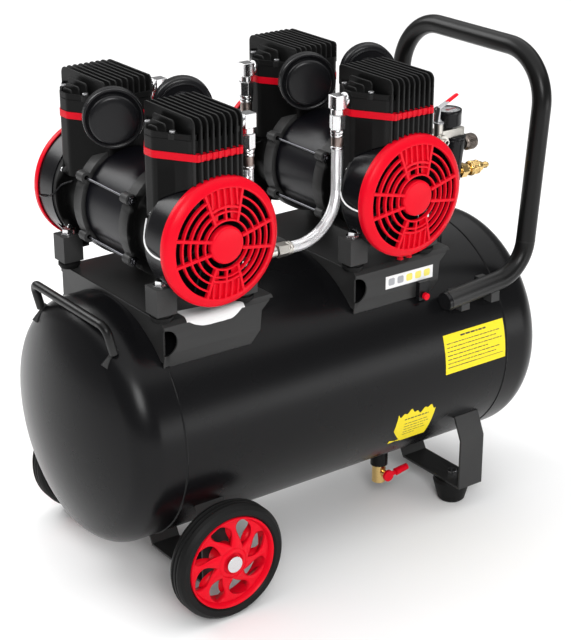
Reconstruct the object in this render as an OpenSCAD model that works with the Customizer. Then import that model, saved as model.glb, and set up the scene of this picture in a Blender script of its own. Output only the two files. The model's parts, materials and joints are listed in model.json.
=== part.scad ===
// Twin-motor oil-free air compressor on a horizontal 50 litre tank.
// X runs along the tank towards the push handle, -Y is the front, Z is up.
// The floor is z = 0 and the tank's middle is x = 0, y = 0.

/* [Tank] */
// Radius of the tank
tank_r = 158; // [140:1:170]
// Height of the tank's axis above the floor
tank_z = 219.4; // [215:0.1:230]
// Distance from the middle to each welded seam
seam_x = 257; // [240:1:265]
// Distance from the middle to where the domed end starts
dome_x = 284.3; // [275:0.1:295]
// Knuckle radius of the domed end
knuckle_r = 41; // [35:1:50]
// Crown radius of the domed end
crown_r = 317; // [300:1:330]
// Steel thickness of the tank
tank_t = 2.5; // [2:0.1:4]

/* [Legs and wheels] */
// Distance from the middle to the wheel axle
axle_x = -212; // [-225:1:-200]
// Distance from the middle to the feet
foot_x = 206; // [195:1:215]
// Width of the bent leg straps
strap_w = 40.6; // [36:0.1:46]
// Thickness of the leg straps
strap_t = 3; // [2:0.5:4]
// Outer face of the leg straps
strap_y = 151; // [145:1:156]
// Wheel radius
wheel_r = 76.6; // [74:0.1:80]
// Wheel width
wheel_w = 30; // [26:1:32]
// Outer face of the wheels
wheel_y = 188.8; // [186:0.1:192]
// Radius of the red rim
rim_r = 60.8; // [56:0.1:64]
// Axle radius
axle_r = 8; // [7:0.5:10]
// Foot radius at the floor
foot_r = 18.8; // [16:0.1:22]
// Foot radius at the strap
foot_top_r = 26; // [23:0.5:28]

/* [Handles] */
// Radius of the push handle tube
tube_r = 12.8; // [11:0.1:14]
// Half the width of the push handle
handle_y = 141; // [141:0.5:145]
// Height of the push handle's bar
handle_z = 618.6; // [600:0.1:640]
// Radius of the lifting rod
rod_r = 5.5; // [5:0.1:7]

/* [Motors] */
// Place of the left motor along the tank
left_x = -197.8; // [-205:0.1:-190]
// Place of the right motor along the tank
right_x = 84.5; // [80:0.1:90]
// Height of the motor shafts
shaft_z = 477.4; // [470:0.1:485]
// Radius of the stator housing
housing_r = 66; // [64:0.5:68]
// Radius of the end bell rings
bell_r = 72; // [70:0.5:74]
// Radius of the fan shrouds
shroud_r = 76; // [74:0.5:77]
// Rim radius of the fan covers
cover_r = 78.4; // [77.5:0.1:80]
// Distance of the fan cover's rim from the middle
cover_y = 152.1; // [150:0.1:155]
// How far the centre disc stands proud of the rim
cover_rise = 12.8; // [8:0.1:16]
// Crank throw of the eccentrics
throw_e = 9; // [7:0.5:9]

/* [Cylinders] */
// Distance of the head's centre from the middle
head_y = 97; // [95:0.5:99]
// Half the width of a head
head_hx = 60.6; // [58:0.1:62]
// Half the depth of a head
head_hy = 54.7; // [52:0.1:56]
// Underside of the cylinder blocks
block_z = 505; // [500:1:510]
// Underside of the red valve plate
plate_z = 578; // [574:0.5:582]
// Underside of the cylinder head
head_z = 589.3; // [586:0.1:592]
// Top of the side wall of the head
rim_z = 608; // [604:0.5:612]
// Top of the cooling fins
fin_z = 627; // [620:0.5:630]
// Cylinder bore radius
bore_r = 30; // [28:0.5:31]
// Distance of the cylinder bores from the middle
bore_y = 90; // [88:0.5:92]

/* [Motor plates] */
// Underside of the motor plates
deck_z = 378; // [377.6:0.1:380]
// Thickness of the motor plates
deck_t = 2.5; // [2:0.5:3]
// Half the depth of the motor plates
deck_y = 122; // [118:1:126]
// Length of a motor plate along the tank
deck_l = 156.5; // [150:0.5:160]
// Height of the plate's bent edge
deck_bend = 5; // [4.5:0.5:5]
// Gap between the plate's end and the motor's centre
deck_off = 62.2; // [58:0.1:66]

/* [Hidden] */
$fn = 96;
e = 0.05;
// Room between parts that turn against each other
gap = 0.3;
motors = [left_x, right_x];
ends = [-1, 1];
plate_top = deck_z + deck_t;
leg_x = 57;
leg_y = 109;
leg_z = 390;
fin_n = 9;
fin_pitch = 8;
fin_w = 2.6;
hose_r = 6.5;
hose_y = 97;
hose_left_x = -123;
hose_right_x = 10;
pipe_z = 425;
pipe_x = -88;
ctrl_y = -60;
riser_x = 200;
reg_x = 232;
gauge_x = 220;
valve_x = 184;
valve_y = -78;
coupler_z = 456;
switch_x = 209;
drain_x = 118;
drain_y = -60;
drain_z = 46;
reset_x = 130;
reset_y = -129;
reset_z = 327;

// ---------- small helpers ----------

// Cylinder along X, Y or Z between two coordinates
module rod_x(x0, x1, y, z, r, r2 = -1, fn = 96) {
    translate([x0, y, z]) rotate([0, 90, 0])
        cylinder(h = x1 - x0, r1 = r, r2 = r2 < 0 ? r : r2, $fn = fn);
}
module rod_y(y0, y1, x, z, r, r2 = -1, fn = 96) {
    translate([x, y0, z]) rotate([-90, 0, 0])
        cylinder(h = y1 - y0, r1 = r, r2 = r2 < 0 ? r : r2, $fn = fn);
}
module rod_z(z0, z1, x, y, r, r2 = -1, fn = 96) {
    translate([x, y, z0])
        cylinder(h = z1 - z0, r1 = r, r2 = r2 < 0 ? r : r2, $fn = fn);
}
// Box from its two corners
module span(a, b) {
    translate(a) cube(b - a);
}
// Places a front piece at both ends of a motor, turned half round at the rear
module at_ends(x) {
    translate([x, 0, 0]) children();
    translate([x, 0, 0]) rotate([0, 0, 180]) children();
}
// Axis of an air filter: starts in the middle of its cap and runs into the head
module on_filter_axis() {
    translate([53.3, 11.5, 597]) rotate([90, 0, -25]) children();
}
// Repeats at both motors
module at_motors() {
    for (x = motors)
        at_ends(x) children();
}
// The tank's outside as one solid, for trimming what is welded to it
module tank_solid(grow = 0.05) {
    rod_x(-dome_x, dome_x, 0, tank_z, tank_r + grow, fn = 240);
    for (s = ends)
        translate([0, 0, tank_z]) rotate([0, s * 90, 0])
            translate([0, 0, dome_x]) rotate_extrude($fn = 240)
                polygon(concat([[0, -1], [tank_r + grow, -1]], dome(grow)));
}
// Half outline of a domed end, from the knuckle to the tip, as [radius, depth]
function dome(grow) =
    let (k = knuckle_r + grow, c = crown_r + grow,
         flat = sqrt(pow(crown_r - knuckle_r, 2) - pow(tank_r - knuckle_r, 2)),
         turn = atan2(flat, tank_r - knuckle_r))
    concat(
        [for (i = [0 : 6]) let (a = turn * i / 6)
            [tank_r - knuckle_r + k * cos(a), k * sin(a)]],
        [for (i = [1 : 6]) let (a = turn + (90 - turn) * i / 6)
            [c * cos(a), c * sin(a) - flat]]);

// Unit vector, used to thicken bent strips
function unit(v) = v / norm(v);
// Section of a bar or tube
module ring_2d(r, bore) {
    difference() {
        circle(r = r, $fn = 48);
        if (bore > 0) circle(r = bore, $fn = 48);
    }
}
// Straight bar or tube going up from the origin
module straight(h, r, bore = 0) {
    linear_extrude(height = h) ring_2d(r, bore);
}
// Bend in the XZ plane: starts at the origin going up, turns towards -X by the angle
module bend_up(angle, c, r, bore = 0) {
    translate([-c, 0, 0]) rotate([90, 0, 0])
        rotate_extrude(angle = angle) translate([c, 0]) ring_2d(r, bore);
}
// Outline of a bent strip: a route thickened to one side by t
function side_shift(p, i, t) =
    let (n = len(p) - 1,
         a = i == 0 ? unit(p[1] - p[0]) : unit(p[i] - p[i - 1]),
         b = i == n ? a : unit(p[i + 1] - p[i]),
         na = [-a[1], a[0]], nb = [-b[1], b[0]], m = unit(na + nb))
    p[i] + m * t / (m * na);
function strip(p, t) =
    concat(p, [for (i = [len(p) - 1 : -1 : 0]) side_shift(p, i, t)]);
// Extrudes a front view of the YZ plane along X
module along_x(x0, x1) {
    translate([x0, 0, 0]) rotate([90, 0, 90])
        linear_extrude(height = x1 - x0) children();
}
// Eight-sided plan of the heads and cylinder blocks
module head_plan(grow = 0) {
    fx = 30.3 + grow * 0.6;
    sy = 8.3 + grow * 0.6;
    hx = head_hx + grow;
    hy = head_hy + grow;
    translate([0, -head_y])
        polygon([[fx, -hy], [hx, -sy], [hx, sy], [fx, hy],
                 [-fx, hy], [-hx, sy], [-hx, -sy], [-fx, -hy]]);
}

// ---------- tank ----------

module tank_shell() {
    color([0.08, 0.08, 0.09]) difference() {
        union() {
            rod_x(-seam_x, seam_x, 0, tank_z, tank_r);
            for (s = ends)
                translate([s * (seam_x - 2), 0, tank_z]) rotate([0, 90, 0])
                    rotate_extrude() translate([tank_r - 0.6, 0]) circle(r = 1.6, $fn = 24);
        }
        rod_x(-seam_x - 1, seam_x + 1, 0, tank_z, tank_r - tank_t);
    }
}

module tank_heads() {
    color([0.08, 0.08, 0.09]) for (s = ends)
        translate([0, 0, tank_z]) rotate([0, s * 90, 0]) rotate_extrude()
            polygon(concat(
                [[tank_r, seam_x]],
                [for (q = dome(0)) [q[0], q[1] + dome_x]],
                [for (i = [12 : -1 : 0]) let (q = dome(-tank_t)[i]) [q[0], q[1] + dome_x]],
                [[tank_r - tank_t, seam_x]]));
}

// Welded bosses for the drain, the riser, the pressure switch and the check valve
module tank_sockets() {
    color([0.08, 0.08, 0.09]) difference() {
        union() {
            rod_z(58, 90, drain_x, drain_y, 12);
            rod_z(350, 376, riser_x, ctrl_y, 13);
            rod_z(360, 388, switch_x, 0, 12);
            rod_z(360, 392, pipe_x, 0, 13);
        }
        tank_solid();
        rod_z(40, 100, drain_x, drain_y, 6.05);
        rod_z(340, 400, riser_x, ctrl_y, 8.05);
        rod_z(340, 400, switch_x, 0, 7.05);
        rod_z(340, 400, pipe_x, 0, 8.05);
    }
}

// ---------- legs and wheels ----------

// One bent strap at x, on the front side; top widens at the weld
module leg_strap(x) {
    route = [[-132, 150], [-strap_y, 108], [-strap_y, 34.7], [-31, 34.7], [-14, 66]];
    difference() {
        along_x(x - strap_w / 2, x + strap_w / 2)
            polygon(strip(route, strap_t));
        tank_solid();
    }
}

module wheel_brackets() {
    color([0.09, 0.09, 0.09]) for (s = [0, 1])
        mirror([0, s, 0]) difference() {
            leg_strap(axle_x);
            rod_y(-160, -140, axle_x, wheel_r, axle_r + 0.05);
        }
}

module foot_brackets() {
    color([0.09, 0.09, 0.09]) for (s = [0, 1])
        mirror([0, s, 0]) difference() {
            leg_strap(foot_x);
            rod_z(30, 45, foot_x, -112.6, 4.1);
        }
}

module axle_bolts() {
    color([0.78, 0.78, 0.78]) for (s = [0, 1])
        mirror([0, s, 0]) {
            rod_y(-wheel_y - 1, -139.6, axle_x, wheel_r, axle_r);
            rod_y(-wheel_y - 3, -wheel_y - gap, axle_x, wheel_r, 10.5);
            rod_y(-strap_y + strap_t + e, -141, axle_x, wheel_r, 13, fn = 6);
        }
}

// Curved spoke opening of the wheel, drawn in its own plane
function hook(r0, r1, a0, a1, lean, n) =
    concat(
        [for (i = [0 : n]) let (t = i / n, r = r0 + (r1 - r0) * t, a = a0 + lean * t * t)
            [r * cos(a), r * sin(a)]],
        [for (i = [0 : n]) let (t = 1 - i / n, r = r0 + (r1 - r0) * t,
                                a = a0 + lean * t * t + (a1 - a0) * sqrt(t))
            [r * cos(a), r * sin(a)]]);

module wheel_rim_at(s) {
    mid = wheel_y - wheel_w / 2;
    translate([axle_x, s * mid, wheel_r]) rotate([s < 0 ? 90 : -90, 0, 0])
        difference() {
            union() {
                rotate_extrude() polygon([[rim_r - 4, -12], [rim_r, -12], [rim_r, 12],
                    [rim_r - 3, 14], [rim_r - 5, 14], [rim_r - 7, 8], [rim_r - 7, -8]]);
                rotate_extrude() polygon([[axle_r + 0.05, -13], [18, -13], [20, 2],
                    [rim_r - 6, -2], [rim_r - 6, 5], [24, 10], [17, 15], [axle_r + 0.05, 15]]);
            }
            for (i = [0 : 7])
                rotate([0, 0, i * 45]) translate([0, 0, -8]) linear_extrude(height = 26)
                    polygon(hook(24, rim_r - 8, 0, 27, 16, 8));
        }
}

module wheel_tyre_at(s) {
    mid = wheel_y - wheel_w / 2;
    h = wheel_w / 2;
    translate([axle_x, s * mid, wheel_r]) rotate([s < 0 ? 90 : -90, 0, 0])
        rotate_extrude() polygon([[rim_r + e, -12], [rim_r + 3, -h], [wheel_r - 6, -h],
            [wheel_r - 2, -h + 4], [wheel_r, -h + 8], [wheel_r, -5], [wheel_r - 2, -4],
            [wheel_r - 2, -2.5], [wheel_r, -1.5], [wheel_r, 1.5], [wheel_r - 2, 2.5],
            [wheel_r - 2, 4], [wheel_r, 5], [wheel_r, h - 8], [wheel_r - 2, h - 4],
            [wheel_r - 6, h], [rim_r + 3, h], [rim_r + e, 12]]);
}

module front_wheel_rim() { color([0.85, 0.06, 0.16]) wheel_rim_at(-1); }
module rear_wheel_rim() { color([0.85, 0.06, 0.16]) wheel_rim_at(1); }
module front_wheel_tyre() { color([0.1, 0.1, 0.1]) wheel_tyre_at(-1); }
module rear_wheel_tyre() { color([0.1, 0.1, 0.1]) wheel_tyre_at(1); }

module rubber_feet() {
    color([0.12, 0.12, 0.12]) for (s = ends)
        translate([foot_x, s * 112.6, 0]) rotate_extrude()
            polygon([[5, 8 + e], [5, 0], [foot_r - 3, 0], [foot_r, 3], [foot_top_r - 1, 26],
                     [foot_top_r, 30], [foot_top_r - 2, 34.6], [4.1, 34.6], [4.1, 8 + e]]);
}

module foot_bolts() {
    color([0.7, 0.7, 0.72]) for (s = ends) {
        rod_z(4, 38 + e, foot_x, s * 112.6, 4);
        rod_z(4, 8, foot_x, s * 112.6, 4.9);
        rod_z(37.7 + e, 43, foot_x, s * 112.6, 7.5, fn = 6);
    }
}

// ---------- handles ----------

handle_tilt = 4.7;
handle_slope = 5.3;
handle_low = 52;
handle_top = 70;
handle_cut = handle_low * tan((90 - handle_tilt - handle_slope) / 2);
handle_x = 290.5;
handle_foot_z = 328.2;
handle_leg = (handle_z - handle_foot_z) / cos(handle_tilt);
handle_end = 160;
handle_len = (handle_x - handle_end) / cos(handle_slope) - handle_cut;

// One tube: level bar across, two bends, two legs, two low bends and two feet
module handle_tube(r, bore) {
    translate([handle_x, 0, handle_foot_z]) rotate([0, handle_tilt, 0]) {
        translate([0, -handle_y + handle_top, handle_leg]) rotate([-90, 0, 0])
            straight(2 * (handle_y - handle_top), r, bore);
        for (s = [0, 180])
            rotate([0, 0, s]) translate([0, -handle_y, 0]) {
                translate([0, 0, handle_cut + 0.5])
                    straight(handle_leg - handle_top - handle_cut - 0.5, r, bore);
                translate([0, 0, handle_leg - handle_top]) rotate([0, 0, -90])
                    bend_up(90, handle_top, r, bore);
            }
        // a thin band hides each joint between leg and low bend
        for (y = [-handle_y, handle_y])
            translate([0, y, handle_cut - 1])
                straight(2, r + 0.15, bore > 0 ? bore - 0.15 : 0);
        for (y = [-handle_y, handle_y])
            translate([-handle_low, y, handle_cut])
                rotate([0, 90 - handle_tilt - handle_slope, 0]) {
                    translate([handle_low, 0, -handle_len]) straight(handle_len, r, bore);
                    translate([handle_low, 0, 0])
                        bend_up(89.9 - handle_tilt - handle_slope, handle_low, r, bore);
                }
    }
}

// The two feet are bored; the rest of the tube is drawn as one bent bar
module push_handle() {
    color([0.06, 0.06, 0.07]) difference() {
        handle_tube(tube_r, 0);
        for (y = [-handle_y, handle_y])
            translate([handle_x, y, handle_foot_z]) rotate([0, -90 - handle_slope, 0])
                translate([0, 0, 60]) straight(100, tube_r - 1.5);
    }
}

// Push-in caps that close the feet of the handle
module handle_caps() {
    color([0.05, 0.05, 0.05]) for (y = [-handle_y, handle_y])
        translate([handle_x, y, handle_foot_z]) rotate([0, -90 - handle_slope, 0])
            translate([0, 0, handle_len + handle_cut]) {
                translate([0, 0, -16]) cylinder(h = 17, r = tube_r - 1.5 - e);
                translate([0, 0, e]) cylinder(h = 5, r = tube_r - 0.4);
            }
}

// Bent lifting rod: level bar, two bends, two short legs leaning towards the dome
module lift_rod(r) {
    translate([-317.5, 0, 379]) rotate([0, -14, 0]) {
        translate([0, -76, 0]) rotate([-90, 0, 0]) straight(152, r);
        for (s = [0, 180])
            rotate([0, 0, s]) translate([0, -76, -12]) rotate([0, 0, 90]) {
                rotate([0, 0, 180]) translate([12, 0, 0])
                    bend_up(90, 12, r);
                translate([-12, 0, -24]) straight(24, r);
            }
    }
}

module lift_handle() {
    color([0.1, 0.1, 0.1]) lift_rod(rod_r);
}

// Welded pads: under the lifting rod's ends, and saddles under the push handle
module handle_pads() {
    color([0.09, 0.09, 0.09]) for (s = [0, 1]) mirror([0, s, 0]) {
        difference() {
            translate([-309, -80, 336]) rotate([-28, -44, 0]) cube([26, 16, 9], center = true);
            tank_solid();
            lift_rod(rod_r);
        }
        for (x = [184, 236]) difference() {
            span([x - 7, -150, 300], [x + 7, -112, 322 + (x - 184) * 0.1]);
            tank_solid();
            translate([handle_x, -handle_y, handle_foot_z])
                rotate([0, -90 - handle_slope, 0]) straight(150, tube_r);
        }
    }
}

// ---------- motor plates ----------

module motor_plate_at(x) {
    x0 = x - deck_off;
    x1 = x0 + deck_l;
    y = deck_y;
    difference() {
        union() {
            along_x(x0, x1)
                polygon(strip([[y - 4, 316], [y, 341], [y, plate_top - deck_bend],
                               [y - deck_bend, plate_top], [-y + deck_bend, plate_top],
                               [-y, plate_top - deck_bend], [-y, 341], [-y + 4, 316]], deck_t));
            along_x(x0, x0 + deck_t)
                polygon([[-y + 2, 330], [-y + 2, deck_z - 3.5], [-y + 6, deck_z + 1],
                         [y - 6, deck_z + 1], [y - 2, deck_z - 3.5], [y - 2, 330]]);
        }
        tank_solid();
        rod_x(-seam_x - 1, -seam_x + 5, 0, tank_z, tank_r + 1.2, fn = 240);
        // rounded relief at the near end of each flange, slanted cut at the far end
        for (s = ends) {
            rod_y(s < 0 ? -y - 3 : y - 2.6, s < 0 ? -y + 2.6 : y + 3, x0 + 2, 355, 16);
            translate([x1, s * y, 0]) rotate([90, 0, 0]) translate([0, 0, -8])
                linear_extrude(height = 16)
                    polygon([[1, 310], [1, 377], [-5, 377], [-18, 365], [-20, 340],
                             [-33, 322], [-33, 310]]);
        }
        for (i = ends, j = ends)
            rod_z(370, 400, x + i * leg_x, j * leg_y, 4.2);
    }
}

module motor_plates() {
    color([0.1, 0.1, 0.1]) for (x = motors)
        motor_plate_at(x);
}

module damper_bushes() {
    color([0.05, 0.05, 0.05]) for (x = motors, i = ends, j = ends)
        translate([x + i * leg_x, j * leg_y, 0]) difference() {
            union() {
                rod_z(plate_top, leg_z, 0, 0, 12);
                rod_z(plate_top + 3, leg_z - 3, 0, 0, 14);
            }
            rod_z(370, 400, 0, 0, 4.2);
        }
}

module damper_bolts() {
    color([0.7, 0.7, 0.72]) for (x = motors, i = ends, j = ends)
        translate([x + i * leg_x, j * leg_y, 0]) {
            rod_z(deck_z - 1, 424 + e, 0, 0, 4);
            rod_z(424 + e, 425.5, 0, 0, 9);
            rod_z(425.5, 431, 0, 0, 7.5, fn = 6);
        }
}

// ---------- motors ----------

module housing_at(x) {
    difference() {
        rod_y(-44, 44, x, shaft_z, housing_r);
        rod_y(-45, 45, x, shaft_z, housing_r - 4);
    }
}
module housings() { color([0.05, 0.05, 0.06]) for (x = motors) housing_at(x); }

module stators() {
    color([0.45, 0.3, 0.18]) for (x = motors) difference() {
        union() {
            rod_y(-36, 36, x, shaft_z, housing_r - 4.1);
            rod_y(-43, 43, x, shaft_z, 54);
        }
        rod_y(-44, 44, x, shaft_z, 31);
    }
}

// Shaft with its pressed-on core
module rotor_at(x) {
    rod_y(-142, 142, x, shaft_z, 8);
    rod_y(-36, 36, x, shaft_z, 30);
    rod_y(-46, 46, x, shaft_z, 20);
}
module left_rotor() { color([0.6, 0.6, 0.62]) rotor_at(left_x); }
module right_rotor() { color([0.6, 0.6, 0.62]) rotor_at(right_x); }

// Eccentrics with counterweights, opposite each other
module eccentrics_at(x) {
    at_ends(x) difference() {
        union() {
            rod_y(-96, -84, throw_e, shaft_z, 15);
            intersection() {
                rod_y(-82, -76, 0, shaft_z, 34);
                span([-40, -84, shaft_z - 30], [6, -74, shaft_z + 30]);
            }
            rod_y(-84, -76, 0, shaft_z, 12);
        }
        rod_y(-100, -70, 0, shaft_z, 8 + e);
    }
}
module left_eccentrics() { color([0.55, 0.55, 0.57]) eccentrics_at(left_x); }
module right_eccentrics() { color([0.55, 0.55, 0.57]) eccentrics_at(right_x); }

module motor_bearings() {
    color([0.75, 0.75, 0.78]) at_motors() for (y = [-62, -110]) difference() {
        rod_y(y + 0.1, y + (y < -100 ? 5.9 : 7.9), 0, shaft_z, 17.5 - e);
        rod_y(y - 1, y + 9, 0, shaft_z, 8 + e);
    }
}

// Cooling fan: hub, backing disc and slanted blades
module fans_at(x) {
    at_ends(x) difference() {
        union() {
            rod_y(-140, -114, 0, shaft_z, 17);
            rod_y(-118, -116, 0, shaft_z, 52);
            for (i = [0 : 8])
                translate([0, -127, shaft_z]) rotate([0, i * 40, 0])
                    translate([0, 0, 40]) rotate([0, 0, 32]) cube([2.4, 20, 52], center = true);
        }
        rod_y(-150, -100, 0, shaft_z, 8 + e);
    }
}
module left_fans() { color([0.2, 0.2, 0.21]) fans_at(left_x); }
module right_fans() { color([0.2, 0.2, 0.21]) fans_at(right_x); }

// End bell, crank chamber and feet in one casting, on the front side
module crankcase() {
    difference() {
        union() {
            rod_y(-62, -44, 0, shaft_z, bell_r);
            rod_y(-110, -61, 0, shaft_z, 62);
            rod_y(-110, -104, 0, shaft_z, shroud_r - 2);
            span([-46, -104, shaft_z], [46, -62, block_z - e]);
            for (a = [31, 149, 211, 329])
                rod_y(-58, -44, 73 * cos(a), shaft_z + 73 * sin(a), 7);
            for (i = ends) {
                span([i < 0 ? -leg_x - 13.5 : leg_x - 13.5, -122, leg_z],
                     [i < 0 ? -leg_x + 13.5 : leg_x + 13.5, -96, 424]);
                span([i < 0 ? -leg_x : 30, -110, 404], [i < 0 ? -30 : leg_x, -104, 450]);
            }
        }
        rod_y(-54, -43, 0, shaft_z, housing_r + 0.1);
        rod_y(-104, -62, 0, shaft_z, 57);
        rod_y(-120, -40, 0, shaft_z, 17.5);
        rod_z(shaft_z, block_z + 5, 0, -bore_y, bore_r + 4);
        translate([0, 0, block_z - e]) linear_extrude(height = 80) head_plan(0.2);
        for (a = [31, 149, 211, 329]) {
            rod_y(-63, -43, 73 * cos(a), shaft_z + 73 * sin(a), 3.1);
            rod_y(-70, -58, 73 * cos(a), shaft_z + 73 * sin(a), 6.3);
        }
        for (i = ends) {
            rod_z(380, 440, i * leg_x, -leg_y, 4.2);
            rod_z(424, 432, i * leg_x, -leg_y, 10);
        }
    }
}
module crankcases() { color([0.07, 0.07, 0.07]) at_motors() crankcase(); }

module tie_bolts() {
    color([0.72, 0.72, 0.74]) for (x = motors, a = [31, 149, 211, 329])
        translate([x + 73 * cos(a), 0, shaft_z + 73 * sin(a)]) {
            rod_y(-62, 62, 0, 0, 3);
            for (s = ends)
                rod_y(s < 0 ? -63 : 58.1, s < 0 ? -58.1 : 63, 0, 0, 6, fn = 6);
        }
}

// Finned cylinder block of one crankcase
module cylinder_block() {
    difference() {
        union() {
            translate([0, 0, block_z]) linear_extrude(height = plate_z - block_z - e)
                intersection() {
                    head_plan();
                    translate([-70, -head_y - head_hy + 6]) square([140, 120]);
                }
            for (i = [0 : fin_n - 1])
                translate([(i - 4) * fin_pitch - fin_w / 2, -head_y - head_hy, 552])
                    cube([fin_w, 8, plate_z - 552 - e]);
        }
        rod_z(block_z - 1, plate_z + 1, 0, -bore_y, bore_r);
        rod_y(-170, -110 + e, 0, shaft_z, shroud_r + 0.5);
        rod_y(-170, -143, 0, shaft_z, cover_r + gap);
        rod_y(-44 - gap, -30, 0, shaft_z, housing_r + gap);
        // room for the big end at the top of its stroke
        rod_y(-96, -84, 0, shaft_z + throw_e, 41);
    }
}
module cylinder_blocks() { color([0.07, 0.07, 0.07]) at_motors() cylinder_block(); }

// Red valve plate between block and head
module valve_plates() {
    color([0.85, 0.07, 0.17]) at_motors() difference() {
        translate([0, 0, plate_z]) linear_extrude(height = head_z - plate_z - e) head_plan(0.8);
        for (x = [-14, 14])
            rod_z(plate_z - 1, head_z + 1, x, -bore_y, 5);
    }
}

// Head casting: hollow body, long top fins that run down the front, short side fins
module cylinder_head() {
    front = -head_y - head_hy;
    difference() {
        union() {
            translate([0, 0, head_z]) linear_extrude(height = rim_z - head_z)
                intersection() {
                    head_plan();
                    translate([-70, front + 6]) square([140, 120]);
                }
            for (i = [0 : fin_n - 1])
                translate([(i - 4) * fin_pitch - fin_w / 2, 0, 0]) rotate([90, 0, 90])
                    linear_extrude(height = fin_w)
                        polygon([[front, head_z], [front, fin_z - 10], [front + 3, fin_z - 3.5],
                                 [front + 10, fin_z], [-52, fin_z], [-47, fin_z - 4],
                                 [-44, rim_z - 1], [-60, rim_z - 1], [-60, head_z + 2]]);
            for (s = ends, k = [0 : 2])
                translate([s * (40 + k * 7) - 1.2, -head_y - 34 + k * 10, rim_z - 1])
                    cube([2.4, 68 - k * 20, 12 - k * 3]);
        }
        for (s = ends)
            span([s < 0 ? -40 : 3, -130, head_z - 1], [s < 0 ? -3 : 40, -64, rim_z - 6]);
        on_filter_axis() rod_z(55, 90, 0, 0, 7);
    }
}
module cylinder_heads() {
    color([0.07, 0.07, 0.07]) difference() {
        at_motors() cylinder_head();
        for (s = ends) {
            rod_x(left_x + 36, left_x + 70, s * hose_y, 598, 5);
            rod_x(right_x - 70, right_x - 36, s * hose_y, 598, 5);
        }
    }
}

// Wobble piston with its rod; the big end has room for the whole crank circle
module piston_at(x, s) {
    ring = 15 + 2 * throw_e + 0.6;
    color([0.7, 0.7, 0.72]) translate([x, 0, 0]) rotate([0, 0, s < 0 ? 0 : 180]) difference() {
        union() {
            rod_z(554, 566, 0, -bore_y, bore_r - e);
            rod_y(-94, -86, 0, shaft_z, ring + 5);
            span([-7, -94, shaft_z + ring + 2], [7, -86, 556]);
        }
        rod_y(-95, -85, 0, shaft_z, ring);
    }
}
module piston_left_front() { piston_at(left_x, -1); }
module piston_left_rear() { piston_at(left_x, 1); }
module piston_right_front() { piston_at(right_x, -1); }
module piston_right_rear() { piston_at(right_x, 1); }

// Black drum around each fan
module fan_shrouds() {
    color([0.04, 0.04, 0.05]) at_motors() difference() {
        rod_y(-148.8, -110 - e, 0, shaft_z, shroud_r);
        rod_y(-151, -112, 0, shaft_z, shroud_r - 2);
        rod_y(-113, -109, 0, shaft_z, 44);
        // foot of the cylinder bore
        rod_z(shaft_z + 45, shaft_z + 90, 0, -bore_y, bore_r + 1);
        for (i = ends)
            span([i < 0 ? -leg_x - 14 : leg_x - 14, -122.5, 380],
                 [i < 0 ? -leg_x + 14 : leg_x + 14, -95, 436]);
    }
}

// Red grille cover over each fan: rim, centre disc, rings and twin spokes
module fan_cover() {
    tip = cover_y + cover_rise;
    translate([0, 0, shaft_z]) rotate([90, 0, 0]) difference() {
        union() {
            rotate_extrude() polygon([[shroud_r + 0.3, 144], [cover_r, 144], [cover_r, 152],
                [72, 158], [66, 158], [66, 154], [70, 154], [shroud_r + 0.3, 149]]);
            translate([0, 0, 154]) cylinder(h = tip - 154, r = 22);
            for (r = [30, 39, 48, 57])
                rotate_extrude() translate([r, tip - 5 - (r - 22) * 0.1]) square([3, 4]);
            for (a = [9, 171])
                rotate([0, 0, a]) for (v = [-12, 12])
                    translate([0, v - 1.5, 152]) cube([69, 3, tip - 153]);
            for (a = [60, 90, 120, 240, 270, 300])
                rotate([0, 0, a]) translate([10, -1.5, 154]) cube([59, 3, 6]);
        }
        translate([0, 0, 150]) cylinder(h = tip - 153, r = 19);
        translate([0, 0, 140]) cylinder(h = 9, r = shroud_r + 0.25);
    }
}
module fan_covers() { color([0.9, 0.08, 0.2]) at_motors() fan_cover(); }

// Round air filter on the inner face of each head, turned outwards
module air_filters() {
    color([0.1, 0.1, 0.11]) at_motors() on_filter_axis()
        rotate_extrude() polygon([[0, 0], [27.5, 0], [29.5, 2.5], [29.5, 9], [33, 7.5], [36, 8],
            [36, 23], [33, 26], [15, 28], [9, 32], [7 - e, 34], [7 - e, 66], [0, 66]]);
}

// ---------- delivery side ----------

// Elbow on the outlet side of each head, with its neck, union nut and ferrule
module elbow_at(x, y, toward) {
    face = toward < 0 ? left_x + head_hx : right_x - head_hx;
    span([x - 8, y - 8, 588], [x + 8, y + 8, 605]);
    rod_x(toward < 0 ? face + e : x + 8, toward < 0 ? x - 8 : face - e, y, 598, 7);
    rod_x(toward < 0 ? face - 9 : face - 1, toward < 0 ? face + 1 : face + 9, y, 598, 5 - e);
    rod_z(572, 588, x, y, 8.6, fn = 6);
    rod_z(552, 572, x, y, 7.2);
}
module head_elbows() {
    color([0.82, 0.82, 0.84]) for (s = ends) {
        difference() {
            elbow_at(hose_left_x, s * hose_y, -1);
            rod_z(551, 565, hose_left_x, s * hose_y, hose_r - 2);
        }
        difference() {
            elbow_at(hose_right_x, s * hose_y, 1);
            rod_z(551, 565, hose_right_x, s * hose_y, hose_r - 2);
        }
    }
}

// Braided hoses: short straight ones at the left, long curved ones at the right
module delivery_hoses() {
    color([0.75, 0.75, 0.77]) for (s = ends) {
        rod_z(447, 552 - e, hose_left_x, s * hose_y, hose_r);
        rod_z(pipe_z + 62, 552 - e, hose_right_x, s * hose_y, hose_r, fn = 48);
        translate([hose_right_x - 62, s * hose_y, pipe_z + 62]) rotate([90, 0, 0])
            rotate([0, 0, -90]) rotate_extrude(angle = 90)
                translate([62, 0]) ring_2d(hose_r, 0);
        rod_x(-60, hose_right_x - 62, s * hose_y, pipe_z, hose_r, fn = 48);
    }
}

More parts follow.
